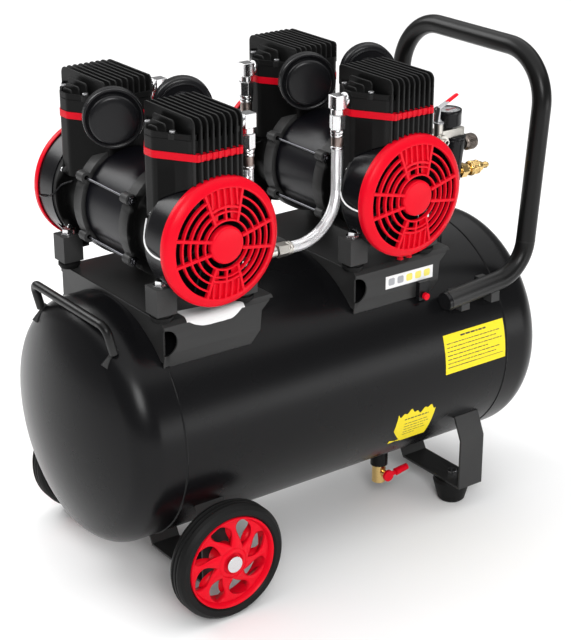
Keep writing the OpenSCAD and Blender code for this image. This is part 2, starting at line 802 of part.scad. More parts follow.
// Collector: a tee at each end, a pipe across the tank and the check valve in its middle
module collector_pipe() {
    color([0.76, 0.74, 0.7]) {
        for (s = ends) {
            rod_x(hose_left_x + 6, -82, s * hose_y, pipe_z, 8);
            rod_x(-82, -66, s * hose_y, pipe_z, 8.6, fn = 6);
            rod_x(-66, -60 - e, s * hose_y, pipe_z, 7.2);
            span([hose_left_x - 4, s * hose_y - 8, pipe_z - 8],
                 [hose_left_x + 8, s * hose_y + 8, pipe_z + 8]);
            rod_z(pipe_z + 8, 447 - e, hose_left_x, s * hose_y, 7.2);
        }
        rod_y(-hose_y, hose_y, pipe_x, pipe_z, 6);
        rod_z(392 + e, pipe_z + 12, pipe_x, 0, 12);
        rod_z(380, 393, pipe_x, 0, 8);
    }
}

// ---------- controls ----------

// Riser from the tank and the cross block that carries gauge, regulator and valve
module manifold() {
    color([0.72, 0.7, 0.64]) {
        rod_z(372, 509, riser_x, ctrl_y, 8);
        span([184, ctrl_y - 9, 508], [242, ctrl_y + 9, 519]);
    }
}

module gauge() {
    color([0.06, 0.06, 0.06]) difference() {
        union() {
            rod_z(519 + e, 524, gauge_x, ctrl_y, 6);
            rod_z(523, 545, gauge_x, ctrl_y, 18.5);
        }
        rod_z(542.5, 546, gauge_x, ctrl_y, 16.8);
        rod_z(536, 546, gauge_x, ctrl_y, 1.55);
    }
}

module gauge_needle() {
    color([0.8, 0.1, 0.1]) {
        rod_z(538, 544, gauge_x, ctrl_y, 1.5);
        span([gauge_x - 4, ctrl_y - 0.6, 543.2], [gauge_x + 13, ctrl_y + 0.6, 544]);
    }
}

// Tapered regulator body with its lower outlet chamber
module regulator_body() {
    color([0.05, 0.05, 0.05]) difference() {
        union() {
            rod_z(462, 505, reg_x, ctrl_y, 11, 16);
            rod_z(505, 508 - e, reg_x, ctrl_y, 16);
            rod_z(446, 462, reg_x, ctrl_y, 11);
            rod_x(reg_x, reg_x + 15, ctrl_y, 494, 7);
        }
        rod_x(reg_x + 5, reg_x + 18, ctrl_y, 494, 3.05);
        rod_x(reg_x + 4, reg_x + 20, ctrl_y, coupler_z, 6 + e);
    }
}

module regulator_knob() {
    color([0.28, 0.24, 0.21]) {
        rod_x(reg_x + 16.3, reg_x + 19, ctrl_y, 494, 9, 11);
        rod_x(reg_x + 19, reg_x + 34, ctrl_y, 494, 11);
        rod_x(reg_x + 34, reg_x + 37, ctrl_y, 494, 11, 8.5);
        rod_x(reg_x + 6, reg_x + 17, ctrl_y, 494, 3);
    }
}

// Ball valve facing the front, with its hose nipple
module outlet_valve() {
    color([0.78, 0.76, 0.7]) difference() {
        union() {
            rod_y(-96, ctrl_y - 9 - e, valve_x + 5, 513, 4);
            rod_y(-90, ctrl_y - 12, valve_x + 5, 513, 8);
            rod_z(513, 534, valve_x + 5, valve_y, 6);
        }
        rod_z(526, 540, valve_x + 5, valve_y, 2.05);
        rod_y(-97, -80, valve_x + 5, 513, 2.5);
    }
}

module outlet_lever() {
    x = valve_x + 5;
    color([0.8, 0.8, 0.8]) {
        rod_z(527, 540, x, valve_y, 2);
        rod_z(534.4, 537, x, valve_y, 7);
        translate([0, valve_y - 3.5, 0]) rotate([90, 0, 0]) mirror([0, 0, 1])
            linear_extrude(height = 7)
                polygon([[x - 4, 535], [x + 4, 535], [x + 4, 537], [x - 0.5, 538], [x + 0.5, 554],
                         [x + 32, 569], [x + 31, 571], [x - 1, 556], [x - 4, 540]]);
    }
}

module coupler_body() {
    color([0.8, 0.62, 0.3]) difference() {
        union() {
            rod_x(reg_x + 6, reg_x + 16, ctrl_y, coupler_z, 6);
            rod_x(reg_x + 12, reg_x + 22, ctrl_y, coupler_z, 10, fn = 6);
            rod_x(reg_x + 22, reg_x + 50, ctrl_y, coupler_z, 7);
            rod_x(reg_x + 50, reg_x + 62, ctrl_y, coupler_z, 4.2);
        }
        rod_x(reg_x + 5, reg_x + 63, ctrl_y, coupler_z, 2.6);
    }
}

module coupler_sleeve() {
    color([0.8, 0.62, 0.3]) difference() {
        union() {
            rod_x(reg_x + 28, reg_x + 44, ctrl_y, coupler_z, 9.6);
            rod_x(reg_x + 31, reg_x + 34, ctrl_y, coupler_z, 10.4);
        }
        rod_x(reg_x + 27, reg_x + 45, ctrl_y, coupler_z, 7 + e);
    }
}

// Drain tap under the tank
module drain_valve() {
    color([0.72, 0.52, 0.24]) difference() {
        union() {
            rod_z(54, 66, drain_x, drain_y, 6);
            rod_z(32, 58 - e, drain_x, drain_y, 9.5);
            rod_y(drain_y - 16, drain_y - 8, drain_x + 2, drain_z, 5);
        }
        rod_y(drain_y - 17, drain_y - 6, drain_x + 2, drain_z, 2.05);
        rod_z(31, 67, drain_x, drain_y, 3);
    }
}

module drain_lever() {
    y = drain_y - 16.4;
    color([0.8, 0.1, 0.15]) {
        rod_y(drain_y - 16.5, drain_y - 8, drain_x + 2, drain_z, 2);
        rod_y(y - 4, y, drain_x + 2, drain_z, 8);
        translate([drain_x + 2, y - 3, drain_z]) rotate([0, -8, 0]) {
            span([0, 0, -3], [14, 2.4, 3]);
            rod_x(13, 33, 1.2, 0, 5.2, 4.4);
        }
    }
}

// Overload switch under the edge of the right motor plate, and its button
module reset_housing() {
    color([0.05, 0.05, 0.05]) difference() {
        span([reset_x - 8, reset_y, 321], [reset_x + 8, -deck_y - e, 346]);
        rod_y(reset_y - 1, reset_y + 5.2, reset_x, reset_z, 3.05);
    }
}
module reset_button() {
    color([0.85, 0.1, 0.2]) {
        rod_y(reset_y - 6, reset_y - 1.5, reset_x, reset_z, 4.6);
        rod_y(reset_y - 2, reset_y + 3, reset_x, reset_z, 3);
    }
}

// Pressure switch on its own nipple, behind the right motor
module pressure_switch() {
    color([0.05, 0.05, 0.05]) difference() {
        union() {
            span([188, -28, 440], [232, 30, 500]);
            rod_z(388 + e, 441, switch_x, 0, 9);
            rod_z(380, 389, switch_x, 0, 7);
            rod_y(30, 42, 200, 455, 8);
        }
        rod_z(492, 501, switch_x, 0, 3.05);
        rod_y(31, 43, 200, 455, 4);
    }
}

module switch_knob() {
    color([0.85, 0.1, 0.15]) {
        rod_z(493, 502, switch_x, 0, 3);
        rod_z(500.4, 509, switch_x, 0, 12, 10);
        span([switch_x - 11, -2.5, 508], [switch_x + 11, 2.5, 515]);
    }
}

module safety_valve() {
    color([0.78, 0.62, 0.32]) difference() {
        union() {
            rod_x(232 + e, 240, 12, 452, 7, fn = 6);
            rod_x(240, 262, 12, 452, 6);
        }
        rod_x(250, 263, 12, 452, 1.55);
    }
}

module safety_ring() {
    color([0.75, 0.75, 0.76]) {
        rod_x(252, 268, 12, 452, 1.5);
        translate([276, 12, 452]) rotate([90, 0, 0]) rotate_extrude()
            translate([8, 0]) circle(r = 0.9, $fn = 24);
    }
}

tank_shell();
tank_heads();
tank_sockets();
wheel_brackets();
foot_brackets();
axle_bolts();
front_wheel_rim();
front_wheel_tyre();
rear_wheel_rim();
rear_wheel_tyre();
rubber_feet();
foot_bolts();
push_handle();
handle_caps();
lift_handle();
handle_pads();
motor_plates();
damper_bushes();
damper_bolts();
housings();
stators();
left_rotor();
right_rotor();
left_eccentrics();
right_eccentrics();
motor_bearings();
left_fans();
right_fans();
crankcases();
tie_bolts();
cylinder_blocks();
valve_plates();
cylinder_heads();
piston_left_front();
piston_left_rear();
piston_right_front();
piston_right_rear();
fan_shrouds();
fan_covers();
air_filters();
head_elbows();
delivery_hoses();
collector_pipe();
manifold();
gauge();
gauge_needle();
regulator_body();
regulator_knob();
outlet_valve();
outlet_lever();
coupler_body();
coupler_sleeve();
drain_valve();
drain_lever();
reset_housing();
reset_button();
pressure_switch();
switch_knob();
safety_valve();
safety_ring();
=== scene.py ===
"""Looks of the twin-motor air compressor: materials, detailed pieces, camera and studio.

Pieces are sized in millimetres in the frame of the CAD: X runs along the tank to the push handle,
-Y is the front and Z is up from the floor. The studio is in metres.
"""
import json
import math

import bmesh
import bpy
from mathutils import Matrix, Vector


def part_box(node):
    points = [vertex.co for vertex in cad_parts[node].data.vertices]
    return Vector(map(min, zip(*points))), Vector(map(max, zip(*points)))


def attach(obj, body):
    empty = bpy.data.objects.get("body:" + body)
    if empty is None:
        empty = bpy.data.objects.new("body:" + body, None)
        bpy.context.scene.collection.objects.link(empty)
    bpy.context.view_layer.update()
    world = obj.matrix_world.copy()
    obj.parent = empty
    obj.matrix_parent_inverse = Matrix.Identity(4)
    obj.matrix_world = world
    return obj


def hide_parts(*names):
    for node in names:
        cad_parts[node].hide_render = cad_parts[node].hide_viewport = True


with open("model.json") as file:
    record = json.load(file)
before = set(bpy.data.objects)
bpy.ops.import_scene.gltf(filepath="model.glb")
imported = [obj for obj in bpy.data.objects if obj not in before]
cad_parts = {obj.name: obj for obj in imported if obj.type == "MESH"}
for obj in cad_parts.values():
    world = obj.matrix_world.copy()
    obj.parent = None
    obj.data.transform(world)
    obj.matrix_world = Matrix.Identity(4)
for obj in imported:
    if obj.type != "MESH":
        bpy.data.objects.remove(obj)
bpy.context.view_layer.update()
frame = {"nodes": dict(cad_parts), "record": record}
MM = 0.001


# ---------- materials ----------

def colour(value, k=1.0):
    return (*(min(1.0, c * k) for c in value), 1.0)


HIGHLIGHT_FROM, HIGHLIGHT_FULL = 0.53, 0.62    # pointiness of an edge where the painted highlight begins and is full
GRAIN_DEPTH = 0.0006                 # metres
# grey of the painted highlight on sharp edges, standing in for light caught there
EDGE_HIGHLIGHT_GREY = (0.10, 0.10, 0.10)
finishes = {}


def shade(nodes, kind, **values):
    """Adds a shader node and sets its inputs; an underscore stands for a space in their names."""
    node = nodes.new("ShaderNode" + kind)
    for name, value in values.items():
        node.inputs[name.replace("_", " ")].default_value = value
    return node


def material(name, base, rough, metal=0.0, grain=700.0, bump=0.05, vary=0.12, rough_vary=0.06,
             round_edge=0.5, edge_highlight=None, edge_highlight_amount=0.0, blotch=9.0, spec=0.5):
    """Adds a procedural finish: cloudy tone, uneven gloss, fine grain, rounded edges and, where
    asked, a painted highlight on sharp edges.
    """
    mat = bpy.data.materials.new(name)
    mat.use_nodes = True
    nodes = mat.node_tree.nodes
    link = mat.node_tree.links.new
    shader = nodes["Principled BSDF"]
    shader.inputs["Metallic"].default_value = metal
    shader.inputs["Specular IOR Level"].default_value = spec
    where = nodes.new("ShaderNodeTexCoord")
    cloud = shade(nodes, "TexNoise", Scale=blotch, Detail=5.0)
    link(where.outputs["Object"], cloud.inputs["Vector"])
    tone = nodes.new("ShaderNodeMix")
    tone.data_type = "RGBA"
    tone.inputs["A"].default_value = colour(base, 1.0 - vary)
    tone.inputs["B"].default_value = colour(base, 1.0 + vary)
    link(cloud.outputs["Fac"], tone.inputs["Factor"])
    result = tone.outputs["Result"]
    # Painted highlight: sharp edges, found by their pointiness, are lightened towards a grey, as
    # if they caught the light.
    if edge_highlight:
        edges = nodes.new("ShaderNodeNewGeometry")
        ramp = shade(nodes, "MapRange", From_Min=HIGHLIGHT_FROM, From_Max=HIGHLIGHT_FULL,
                     To_Max=edge_highlight_amount)
        link(edges.outputs["Pointiness"], ramp.inputs["Value"])
        highlighted = nodes.new("ShaderNodeMix")
        highlighted.data_type = "RGBA"
        highlighted.inputs["B"].default_value = colour(edge_highlight)
        link(ramp.outputs["Result"], highlighted.inputs["Factor"])
        link(result, highlighted.inputs["A"])
        result = highlighted.outputs["Result"]
    link(result, shader.inputs["Base Color"])
    gloss = shade(nodes, "MapRange", To_Min=max(0.02, rough - rough_vary),
                  To_Max=min(1.0, rough + rough_vary))
    link(cloud.outputs["Fac"], gloss.inputs["Value"])
    link(gloss.outputs["Result"], shader.inputs["Roughness"])
    fine = shade(nodes, "TexNoise", Scale=grain, Detail=3.0)
    link(where.outputs["Object"], fine.inputs["Vector"])
    relief = shade(nodes, "Bump", Strength=bump, Distance=GRAIN_DEPTH)
    link(fine.outputs["Fac"], relief.inputs["Height"])
    if round_edge:
        bevel = shade(nodes, "Bevel", Radius=round_edge * MM)
        bevel.samples = 4
        link(bevel.outputs["Normal"], relief.inputs["Normal"])
    link(relief.outputs["Normal"], shader.inputs["Normal"])
    finishes[name] = mat


material("tank_paint", (0.004, 0.004, 0.0045), 0.27, grain=420, bump=0.08, rough_vary=0.03,
         spec=0.16)
# The bracket paint and the black castings get the painted highlight on their sharp edges.
material("bracket_paint", (0.005, 0.005, 0.005), 0.3, grain=500, bump=0.1, edge_highlight=EDGE_HIGHLIGHT_GREY,
         edge_highlight_amount=0.3, round_edge=1.2, spec=0.2)
material("black_cast", (0.003, 0.003, 0.003), 0.3, grain=1300, bump=0.15, edge_highlight=EDGE_HIGHLIGHT_GREY,
         edge_highlight_amount=0.45, round_edge=0.7, spec=0.07)
material("black_gloss", (0.004, 0.004, 0.005), 0.24, grain=300, bump=0.03, rough_vary=0.03,
         spec=0.22)
material("black_plastic", (0.006, 0.006, 0.007), 0.26, grain=1500, bump=0.06, round_edge=0.6,
         spec=0.22)
material("red_plastic", (0.70, 0.003, 0.016), 0.3, grain=900, bump=0.05, vary=0.05, round_edge=0.5,
         spec=0.1)
material("red_plate", (0.60, 0.003, 0.014), 0.36, grain=900, bump=0.08, vary=0.06, spec=0.1)
material("tyre_rubber", (0.007, 0.007, 0.007), 0.5, grain=800, bump=0.3, round_edge=0.9, vary=0.25,
         spec=0.12)
material("foot_rubber", (0.007, 0.007, 0.007), 0.5, grain=900, bump=0.25, round_edge=0.8, vary=0.2,
         spec=0.12)
material("bright_steel", (0.72, 0.72, 0.73), 0.2, metal=1.0, grain=500, bump=0.06, rough_vary=0.08,
         round_edge=0.4)
material("plain_steel", (0.42, 0.42, 0.43), 0.36, metal=1.0, grain=600, bump=0.1, rough_vary=0.1)
material("braid", (0.74, 0.74, 0.75), 0.3, metal=1.0, grain=2500, bump=0.15, round_edge=0.0,
         vary=0.2)
material("light_alloy", (0.55, 0.53, 0.49), 0.32, metal=1.0, grain=900, bump=0.2, rough_vary=0.08)
material("brass", (0.72, 0.50, 0.20), 0.24, metal=1.0, grain=700, bump=0.08, vary=0.15,
         rough_vary=0.08, round_edge=0.4)
material("copper_winding", (0.42, 0.2, 0.09), 0.45, metal=0.6, grain=260, bump=0.4)
material("needle_red", (0.7, 0.02, 0.02), 0.35, grain=900, bump=0.03)
material("housing_black", (0.004, 0.004, 0.006), 0.32, grain=600, bump=0.05, rough_vary=0.04,
         round_edge=1.2, spec=0.2)
material("dark_steel", (0.10, 0.10, 0.11), 0.25, metal=1.0, grain=600, bump=0.05)
material("knob_grey", (0.20, 0.17, 0.15), 0.3, metal=1.0, grain=900, bump=0.1)
material("ferrule_brown", (0.26, 0.21, 0.19), 0.35, metal=1.0, grain=900, bump=0.1)
material("label_yellow", (0.85, 0.68, 0.01), 0.45, grain=600, bump=0.03, vary=0.03, round_edge=0.0,
         spec=0.3)
material("label_white", (0.80, 0.80, 0.80), 0.5, grain=600, bump=0.05, vary=0.03, round_edge=0.0,
         spec=0.3)
material("ink", (0.02, 0.02, 0.02), 0.5, grain=900, bump=0.03, round_edge=0.0)
material("mark_yellow", (0.80, 0.70, 0.12), 0.5, grain=900, bump=0.03, vary=0.04, round_edge=0.0)
material("mark_grey", (0.35, 0.36, 0.38), 0.5, grain=900, bump=0.03, vary=0.05, round_edge=0.0)
material("glass", (0.95, 0.96, 0.97), 0.04, grain=300, bump=0.01, vary=0.01, rough_vary=0.01,
         round_edge=0.0)
lens_shader = finishes["glass"].node_tree.nodes["Principled BSDF"]
lens_shader.inputs["Transmission Weight"].default_value = 1.0
for row in frame["record"]["subparts"]:
    node = frame["nodes"][row["node"]]
    node.data.materials.clear()
    node.data.materials.append(finishes[row["material_slot"]])
frame["nodes"]["housings"].data.materials[0] = finishes["housing_black"]


# ---------- mesh helpers ----------

BEVEL_ANGLE, SHARP_ANGLE = 35, 38   # degrees between faces
TINY = 1e-6


def outward(mesh, join):
    """Turns all faces outwards; joins vertices closer than a distance in millimetres."""
    work = bmesh.new()
    work.from_mesh(mesh)
    if join:
        bmesh.ops.remove_doubles(work, verts=work.verts, dist=join * MM)
    bmesh.ops.recalc_face_normals(work, faces=work.faces)
    work.to_mesh(mesh)
    work.free()


def linked(name, data):
    """A new object in the scene."""
    thing = bpy.data.objects.new(name, data)
    bpy.context.scene.collection.objects.link(thing)
    return thing


def put(name, shape, slot, body="frame", replaces=(), bevel=0.0, look=None, join=0.0):
    """Makes a piece from a shape, on its body; look names a finish unlike its slot's."""
    mesh = bpy.data.meshes.new(name)
    mesh.from_pydata([Vector(v) * MM for v in shape.verts], [], shape.faces)
    mesh.validate()
    outward(mesh, join)
    mesh.polygons.foreach_set("use_smooth", [True] * len(mesh.polygons))
    piece = linked(name, mesh)
    mesh.materials.append(finishes[look or slot])
    if bevel:
        edge = piece.modifiers.new("edges", "BEVEL")
        edge.width = bevel * MM
        edge.segments = 2
        edge.limit_method = "ANGLE"
        edge.angle_limit = math.radians(BEVEL_ANGLE)
        edge.harden_normals = False
    mesh.set_sharp_from_angle(angle=math.radians(SHARP_ANGLE))
    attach(piece, body)
    if replaces:
        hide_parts(*replaces)
    return piece


def as_function(value):
    """A number as a function of the place; a function stays as it is."""
    return value if callable(value) else lambda *place: value


class Shape:
    """Collects vertices and faces in millimetres, in a local frame given by a function."""

    def __init__(self, place=None):
        self.verts = []
        self.faces = []
        self.place = place or (lambda u, v, d: (u, v, d))

    def add(self, points, faces):
        start = len(self.verts)
        self.verts += [self.place(*p) for p in points]
        self.faces += [[start + i for i in f] for f in faces]

    def prism(self, outline, low, high):
        """A closed outline in u and v, between two depths (numbers or functions of u and v)."""
        n = len(outline)
        points = [(u, v, as_function(f)(u, v)) for f in (low, high) for u, v in outline]
        faces = [[i, (i + 1) % n, n + (i + 1) % n, n + i] for i in range(n)]
        self.add(points, faces + [list(range(n))[::-1], list(range(n, 2 * n))])

    def ring_prism(self, outer, inner, low, high):
        """Upright wall between two closed outlines with the same number of points."""
        n = len(outer)
        rings = ((outer, low), (outer, high), (inner, high), (inner, low))
        points = [(u, v, as_function(f)(u, v)) for line, f in rings for u, v in line]
        self.add(points, [[k * n + i, k * n + (i + 1) % n, (k + 1) % 4 * n + (i + 1) % n,
                           (k + 1) % 4 * n + i] for k in range(4) for i in range(n)])

    def bar(self, a, b, width, low, high):
        """A straight rib between two points of the plane."""
        along = Vector((b[0] - a[0], b[1] - a[1])).normalized()
        side = Vector((-along.y, along.x)) * width / 2
        self.prism([(a[0] + side.x, a[1] + side.y), (a[0] - side.x, a[1] - side.y),
                    (b[0] - side.x, b[1] - side.y), (b[0] + side.x, b[1] + side.y)], low, high)

    def spokes(self, count, inner, outer, width, low, high, first=0.0):
        """Even radial ribs; the first one's angle is in degrees."""
        for k in range(count):
            angle = first + 360 * k / count
            self.bar(polar(inner, angle), polar(outer, angle), width, low, high)

    def arc(self, radius, width, start, end, low, high, steps=24):
        """A curved rib round the centre, between two angles in degrees."""
        full = abs(end - start) >= 360
        count = steps if full else steps + 1
        points = []
        for i in range(count):
            for r in (radius - width / 2, radius + width / 2):
                u, v = polar(r, start + (end - start) * i / steps)
                points += [(u, v, as_function(f)(u, v)) for f in (low, high)]
        faces = []
        for i in range(steps):
            a, b = 4 * i, 4 * ((i + 1) % count)
            faces += [[a, b, b + 1, a + 1], [a + 1, b + 1, b + 3, a + 3],
                      [a + 3, b + 3, b + 2, a + 2], [a + 2, b + 2, b, a]]
        if not full:
            last = 4 * steps
            faces += [[0, 1, 3, 2], [last, last + 2, last + 3, last + 1]]
        self.add(points, faces)

    def lathe(self, profile, steps=96, base=0.0, closed=True):
        """Turns (radius, depth from base) points round; those on the axis become poles."""
        n = len(profile)
        on_axis = [r < TINY for r, d in profile]
        faces = []
        for i in range(steps):
            j = (i + 1) % steps
            for k in range(n if closed else n - 1):
                m = (k + 1) % n
                face = [i * n + k, j * n + k, j * n + m, i * n + m]
                if on_axis[m]:
                    face.pop(2)
                if on_axis[k]:
                    face.pop(1)
                if len(face) > 2:
                    faces.append(face)
        angles = [360 * i / steps for i in range(steps)]
        self.add([(*polar(r, angle), base + d) for angle in angles for r, d in profile], faces)

    def pipe(self, points, sides):
        """Closed pipe from rings of points that follow each other."""
        last = len(points) - sides
        faces = [[a + k, a + (k + 1) % sides, a + sides + (k + 1) % sides, a + sides + k]
                 for a in range(0, last, sides) for k in range(sides)]
        self.add(points, faces + [list(range(sides)), list(range(last, last + sides))])

    def wire(self, points, radius, sides=12):
        """Round wire along a smooth curve through the points."""
        line = []
        for i in range(len(points) - 1):
            p0, p1, p2 = Vector(points[max(0, i - 1)]), Vector(points[i]), Vector(points[i + 1])
            p3 = Vector(points[min(len(points) - 1, i + 2)])
            for t in (k / 8 for k in range(8)):
                line.append(0.5 * (2 * p1 + (p2 - p0) * t + (2 * p0 - 5 * p1 + 4 * p2 - p3) * t * t
                                   + (3 * p1 - p0 - 3 * p2 + p3) * t ** 3))
        line.append(Vector(points[-1]))
        rings = []
        side = Vector((0.31, 0.83, 0.47)).normalized()    # any direction off the wire's own
        for i, spot in enumerate(line):
            along = (line[min(i + 1, len(line) - 1)] - line[max(i - 1, 0)]).normalized()
            side = (side - along * side.dot(along)).normalized()
            other = along.cross(side)
            rings += [spot + side * a + other * b for a, b in disc((0, 0), radius, sides)]
        self.pipe(rings, sides)


def polar(radius, angle, centre=(0, 0)):
    """Point at a radius and an angle in degrees."""
    turn = math.radians(angle)
    return (centre[0] + radius * math.cos(turn), centre[1] + radius * math.sin(turn))


def arc_points(centre, radius, start, end, steps):
    """Points on an arc, with its angles in degrees."""
    return [polar(radius, start + (end - start) * i / steps, centre) for i in range(steps + 1)]


def disc(centre, radius, count):
    """Closed round outline."""
    return [polar(radius, 360 * k / count, centre) for k in range(count)]


def rounded(corners, radius, steps=6):
    """A closed outline with every corner turned into an arc."""
    points = []
    for i, corner in enumerate(corners):
        here = Vector(corner)
        before = (Vector(corners[i - 1]) - here).normalized()
        after = (Vector(corners[(i + 1) % len(corners)]) - here).normalized()
        half = before.angle(after) / 2
        centre = here + (before + after).normalized() * radius / math.sin(half)
        start = here + before * radius / math.tan(half) - centre
        stop = here + after * radius / math.tan(half) - centre
        first = math.degrees(math.atan2(start.y, start.x))
        turn = (math.degrees(math.atan2(stop.y, stop.x)) - first + 180) % 360 - 180
        points += arc_points(centre, radius, first, first + turn, steps)
    return points


def dense(outline, step):
    """The same closed outline with no gap between points longer than the step."""
    points = []
    for i, a in enumerate(outline):
        b = outline[(i + 1) % len(outline)]
        count = max(1, math.ceil(math.dist(a, b) / step))
        points += [(a[0] + (b[0] - a[0]) * k / count, a[1] + (b[1] - a[1]) * k / count)
                   for k in range(count)]
    return points


def hexagon(radius, turn=0, centre=(0, 0)):
    return [polar(radius, 60 * k + turn, centre) for k in range(6)]


def upright_axis(x, y):
    """Frame for parts turned about Z; d is the height."""
    return lambda u, v, d: (x + u, y + v, d)


def front_axis(x, z):
    """Frame for parts turned about Y; d is the Y position."""
    return lambda u, v, d: (x + u, d, z + v)


def side_axis(y, z):
    """Frame for parts turned about X; d is the X position."""
    return lambda u, v, d: (d, y + u, z + v)


def box_mm(node):
    """Lowest and highest corner of a CAD node."""
    low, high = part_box(node)
    return low / MM, high / MM


def centre_mm(node):
    low, high = box_mm(node)
    return (low + high) / 2


# ---------- sizes read from the frame ----------

left_x = centre_mm("left_rotor").x
right_x = centre_mm("right_rotor").x
shaft_z = centre_mm("left_rotor").z
axle = centre_mm("front_wheel_tyre")
tank_low, tank_high = box_mm("tank_heads")
tank_z = (tank_low.z + tank_high.z) / 2
tank_r = (tank_high.z - tank_low.z) / 2
seam_x = box_mm("tank_shell")[1].x
MOTORS = {"left": left_x, "right": right_x}
ENDS = {"front": 1, "rear": -1}
CYLINDERS = [(f"{motor}_{end}", x, side) for motor, x in MOTORS.items()
             for end, side in ENDS.items()]


def motor_end(x, side):
    """Local frame of a motor end: u sideways, v up from the shaft, d outwards."""
    return lambda u, v, d: (x + side * u, -side * d, shaft_z + v)


def wheel_end(side):
    """Local frame of a wheel: centre on the axle, d outwards from the wheel's middle."""
    return lambda u, v, d: (axle.x + side * u, -side * (-axle.y + d), axle.z + v)


# ---------- fan covers ----------

COVER_TIP = 164.9   # from the motor's middle to the disc's face
DISC_R = 22.5
GRILLE_R = 67.0
FIELD_R = 45.0      # where the ribbed fields at the top and bottom begin
RIB_PITCH = 8.5
RING_W = 2.2


def grille_top(u, v):
    """Height of the slightly domed grille; its ribs, floors and undersides follow it."""
    return COVER_TIP - 0.8 - 0.12 * max(0.0, math.hypot(u, v) - DISC_R)


def under(u, v):
    return grille_top(u, v) - 5.0


def proud(u, v):
    return grille_top(u, v) + 0.5


def floor_top(u, v):
    return grille_top(u, v) - 4.2


def floor_under(u, v):
    return floor_top(u, v) - 1.2


def fan_cover(name, x, side):
    """Red cover: rounded rim, middle disc, rings, spokes and two closed fields with ribs."""
    s = Shape(motor_end(x, side))
    s.lathe([(76.4, 144), (78.2, 144), (78.4, 145), (78.4, 149.5), (78.0, 151.5), (76.8, 153.4),
             (75.0, 154.8), (72.5, 156.4), (70.0, 157.8), (68.0, 158.6), (66.6, 158.8),
             (66.0, 158), (66.0, 154), (67, 153.4), (71, 153), (74.5, 151.4), (76.4, 149.6)], 128)
    s.lathe([(0, COVER_TIP), (19.6, COVER_TIP), (21.2, COVER_TIP - 0.5), (22.2, COVER_TIP - 1.6),
             (DISC_R, COVER_TIP - 3.2), (DISC_R, 157), (21, 157), (21, 162), (0, 162)], 72)
    for radius in (29.7, 39.4):
        s.arc(radius, RING_W, 0, 360, under, grille_top, 96)
    for radius, gap in ((48.3, 24.5), (57.9, 23.4)):
        for turn in (0, 180):
            s.arc(radius, RING_W, turn - 90 + gap, turn + 90 - gap, under, grille_top, 48)
    for m in (-1, 1):
        for k in (-1, 1):
            s.bar((m * 21, k * 7.4), (m * 66.5, k * 16.5), 3.6, under, proud)
            s.bar((k * 14.5, m * 25), (k * 25.5, m * 62.5), 3.4, under, proud)
        rim = arc_points((0, 0), GRILLE_R, 90 - 22.4, 90 + 22.4, 12)
        inner = arc_points((0, 0), FIELD_R, 90 + 25, 90 - 25, 8)
        s.prism([(u, m * v) for u, v in rim + inner], floor_under, floor_top)
        for k in (-1, 1):
            strip = [(k * RIB_PITCH, 28.6), (k * RIB_PITCH, FIELD_R), (k * 19, 41), (k * 15, 25.5)]
            s.prism([(u, m * v) for u, v in strip], floor_under, floor_top)
        s.arc(FIELD_R, 3.0, m * 90 - 24, m * 90 + 24, under, grille_top, 12)
        s.bar((0, m * 29), (0, m * FIELD_R), 2.6, under, grille_top)
        for k in range(-2, 3):
            u = RIB_PITCH * k
            s.bar((u, m * 44.5), (u, m * math.sqrt(GRILLE_R ** 2 - u * u)), 2.4, under, grille_top)
    put(name, s, "red_plastic", replaces=["fan_covers"], bevel=0.35)


for place, x, side in CYLINDERS:
    fan_cover(f"fan_cover_{place}", x, side)


# ---------- tank ends ----------

def tank_end(name, side):
    """Dished end: a straight skirt, a knuckle and a crown that meet smoothly."""
    crown, knuckle, start = 317.0, 41.0, 284.3
    flat = math.sqrt((crown - knuckle) ** 2 - (tank_r - knuckle) ** 2)
    turn = math.degrees(math.atan2(flat, tank_r - knuckle))
    outer = [(tank_r, seam_x - 1.5), (tank_r, start - 8)]
    outer += [(r, start + d) for r, d in arc_points((tank_r - knuckle, 0), knuckle, 0, turn, 20)]
    outer += [(r, start + d) for r, d in arc_points((0, -flat), crown, turn, 90, 24)][1:]
    outer[-1] = (0.0, outer[-1][1])
    s = Shape(lambda u, v, d: (side * d, u, tank_z + v * side))
    s.lathe(outer, 160, closed=False)
    put(name, s, "tank_paint", replaces=["tank_heads"])


tank_end("tank_end_right", 1)
tank_end("tank_end_left", -1)


# ---------- wheels ----------

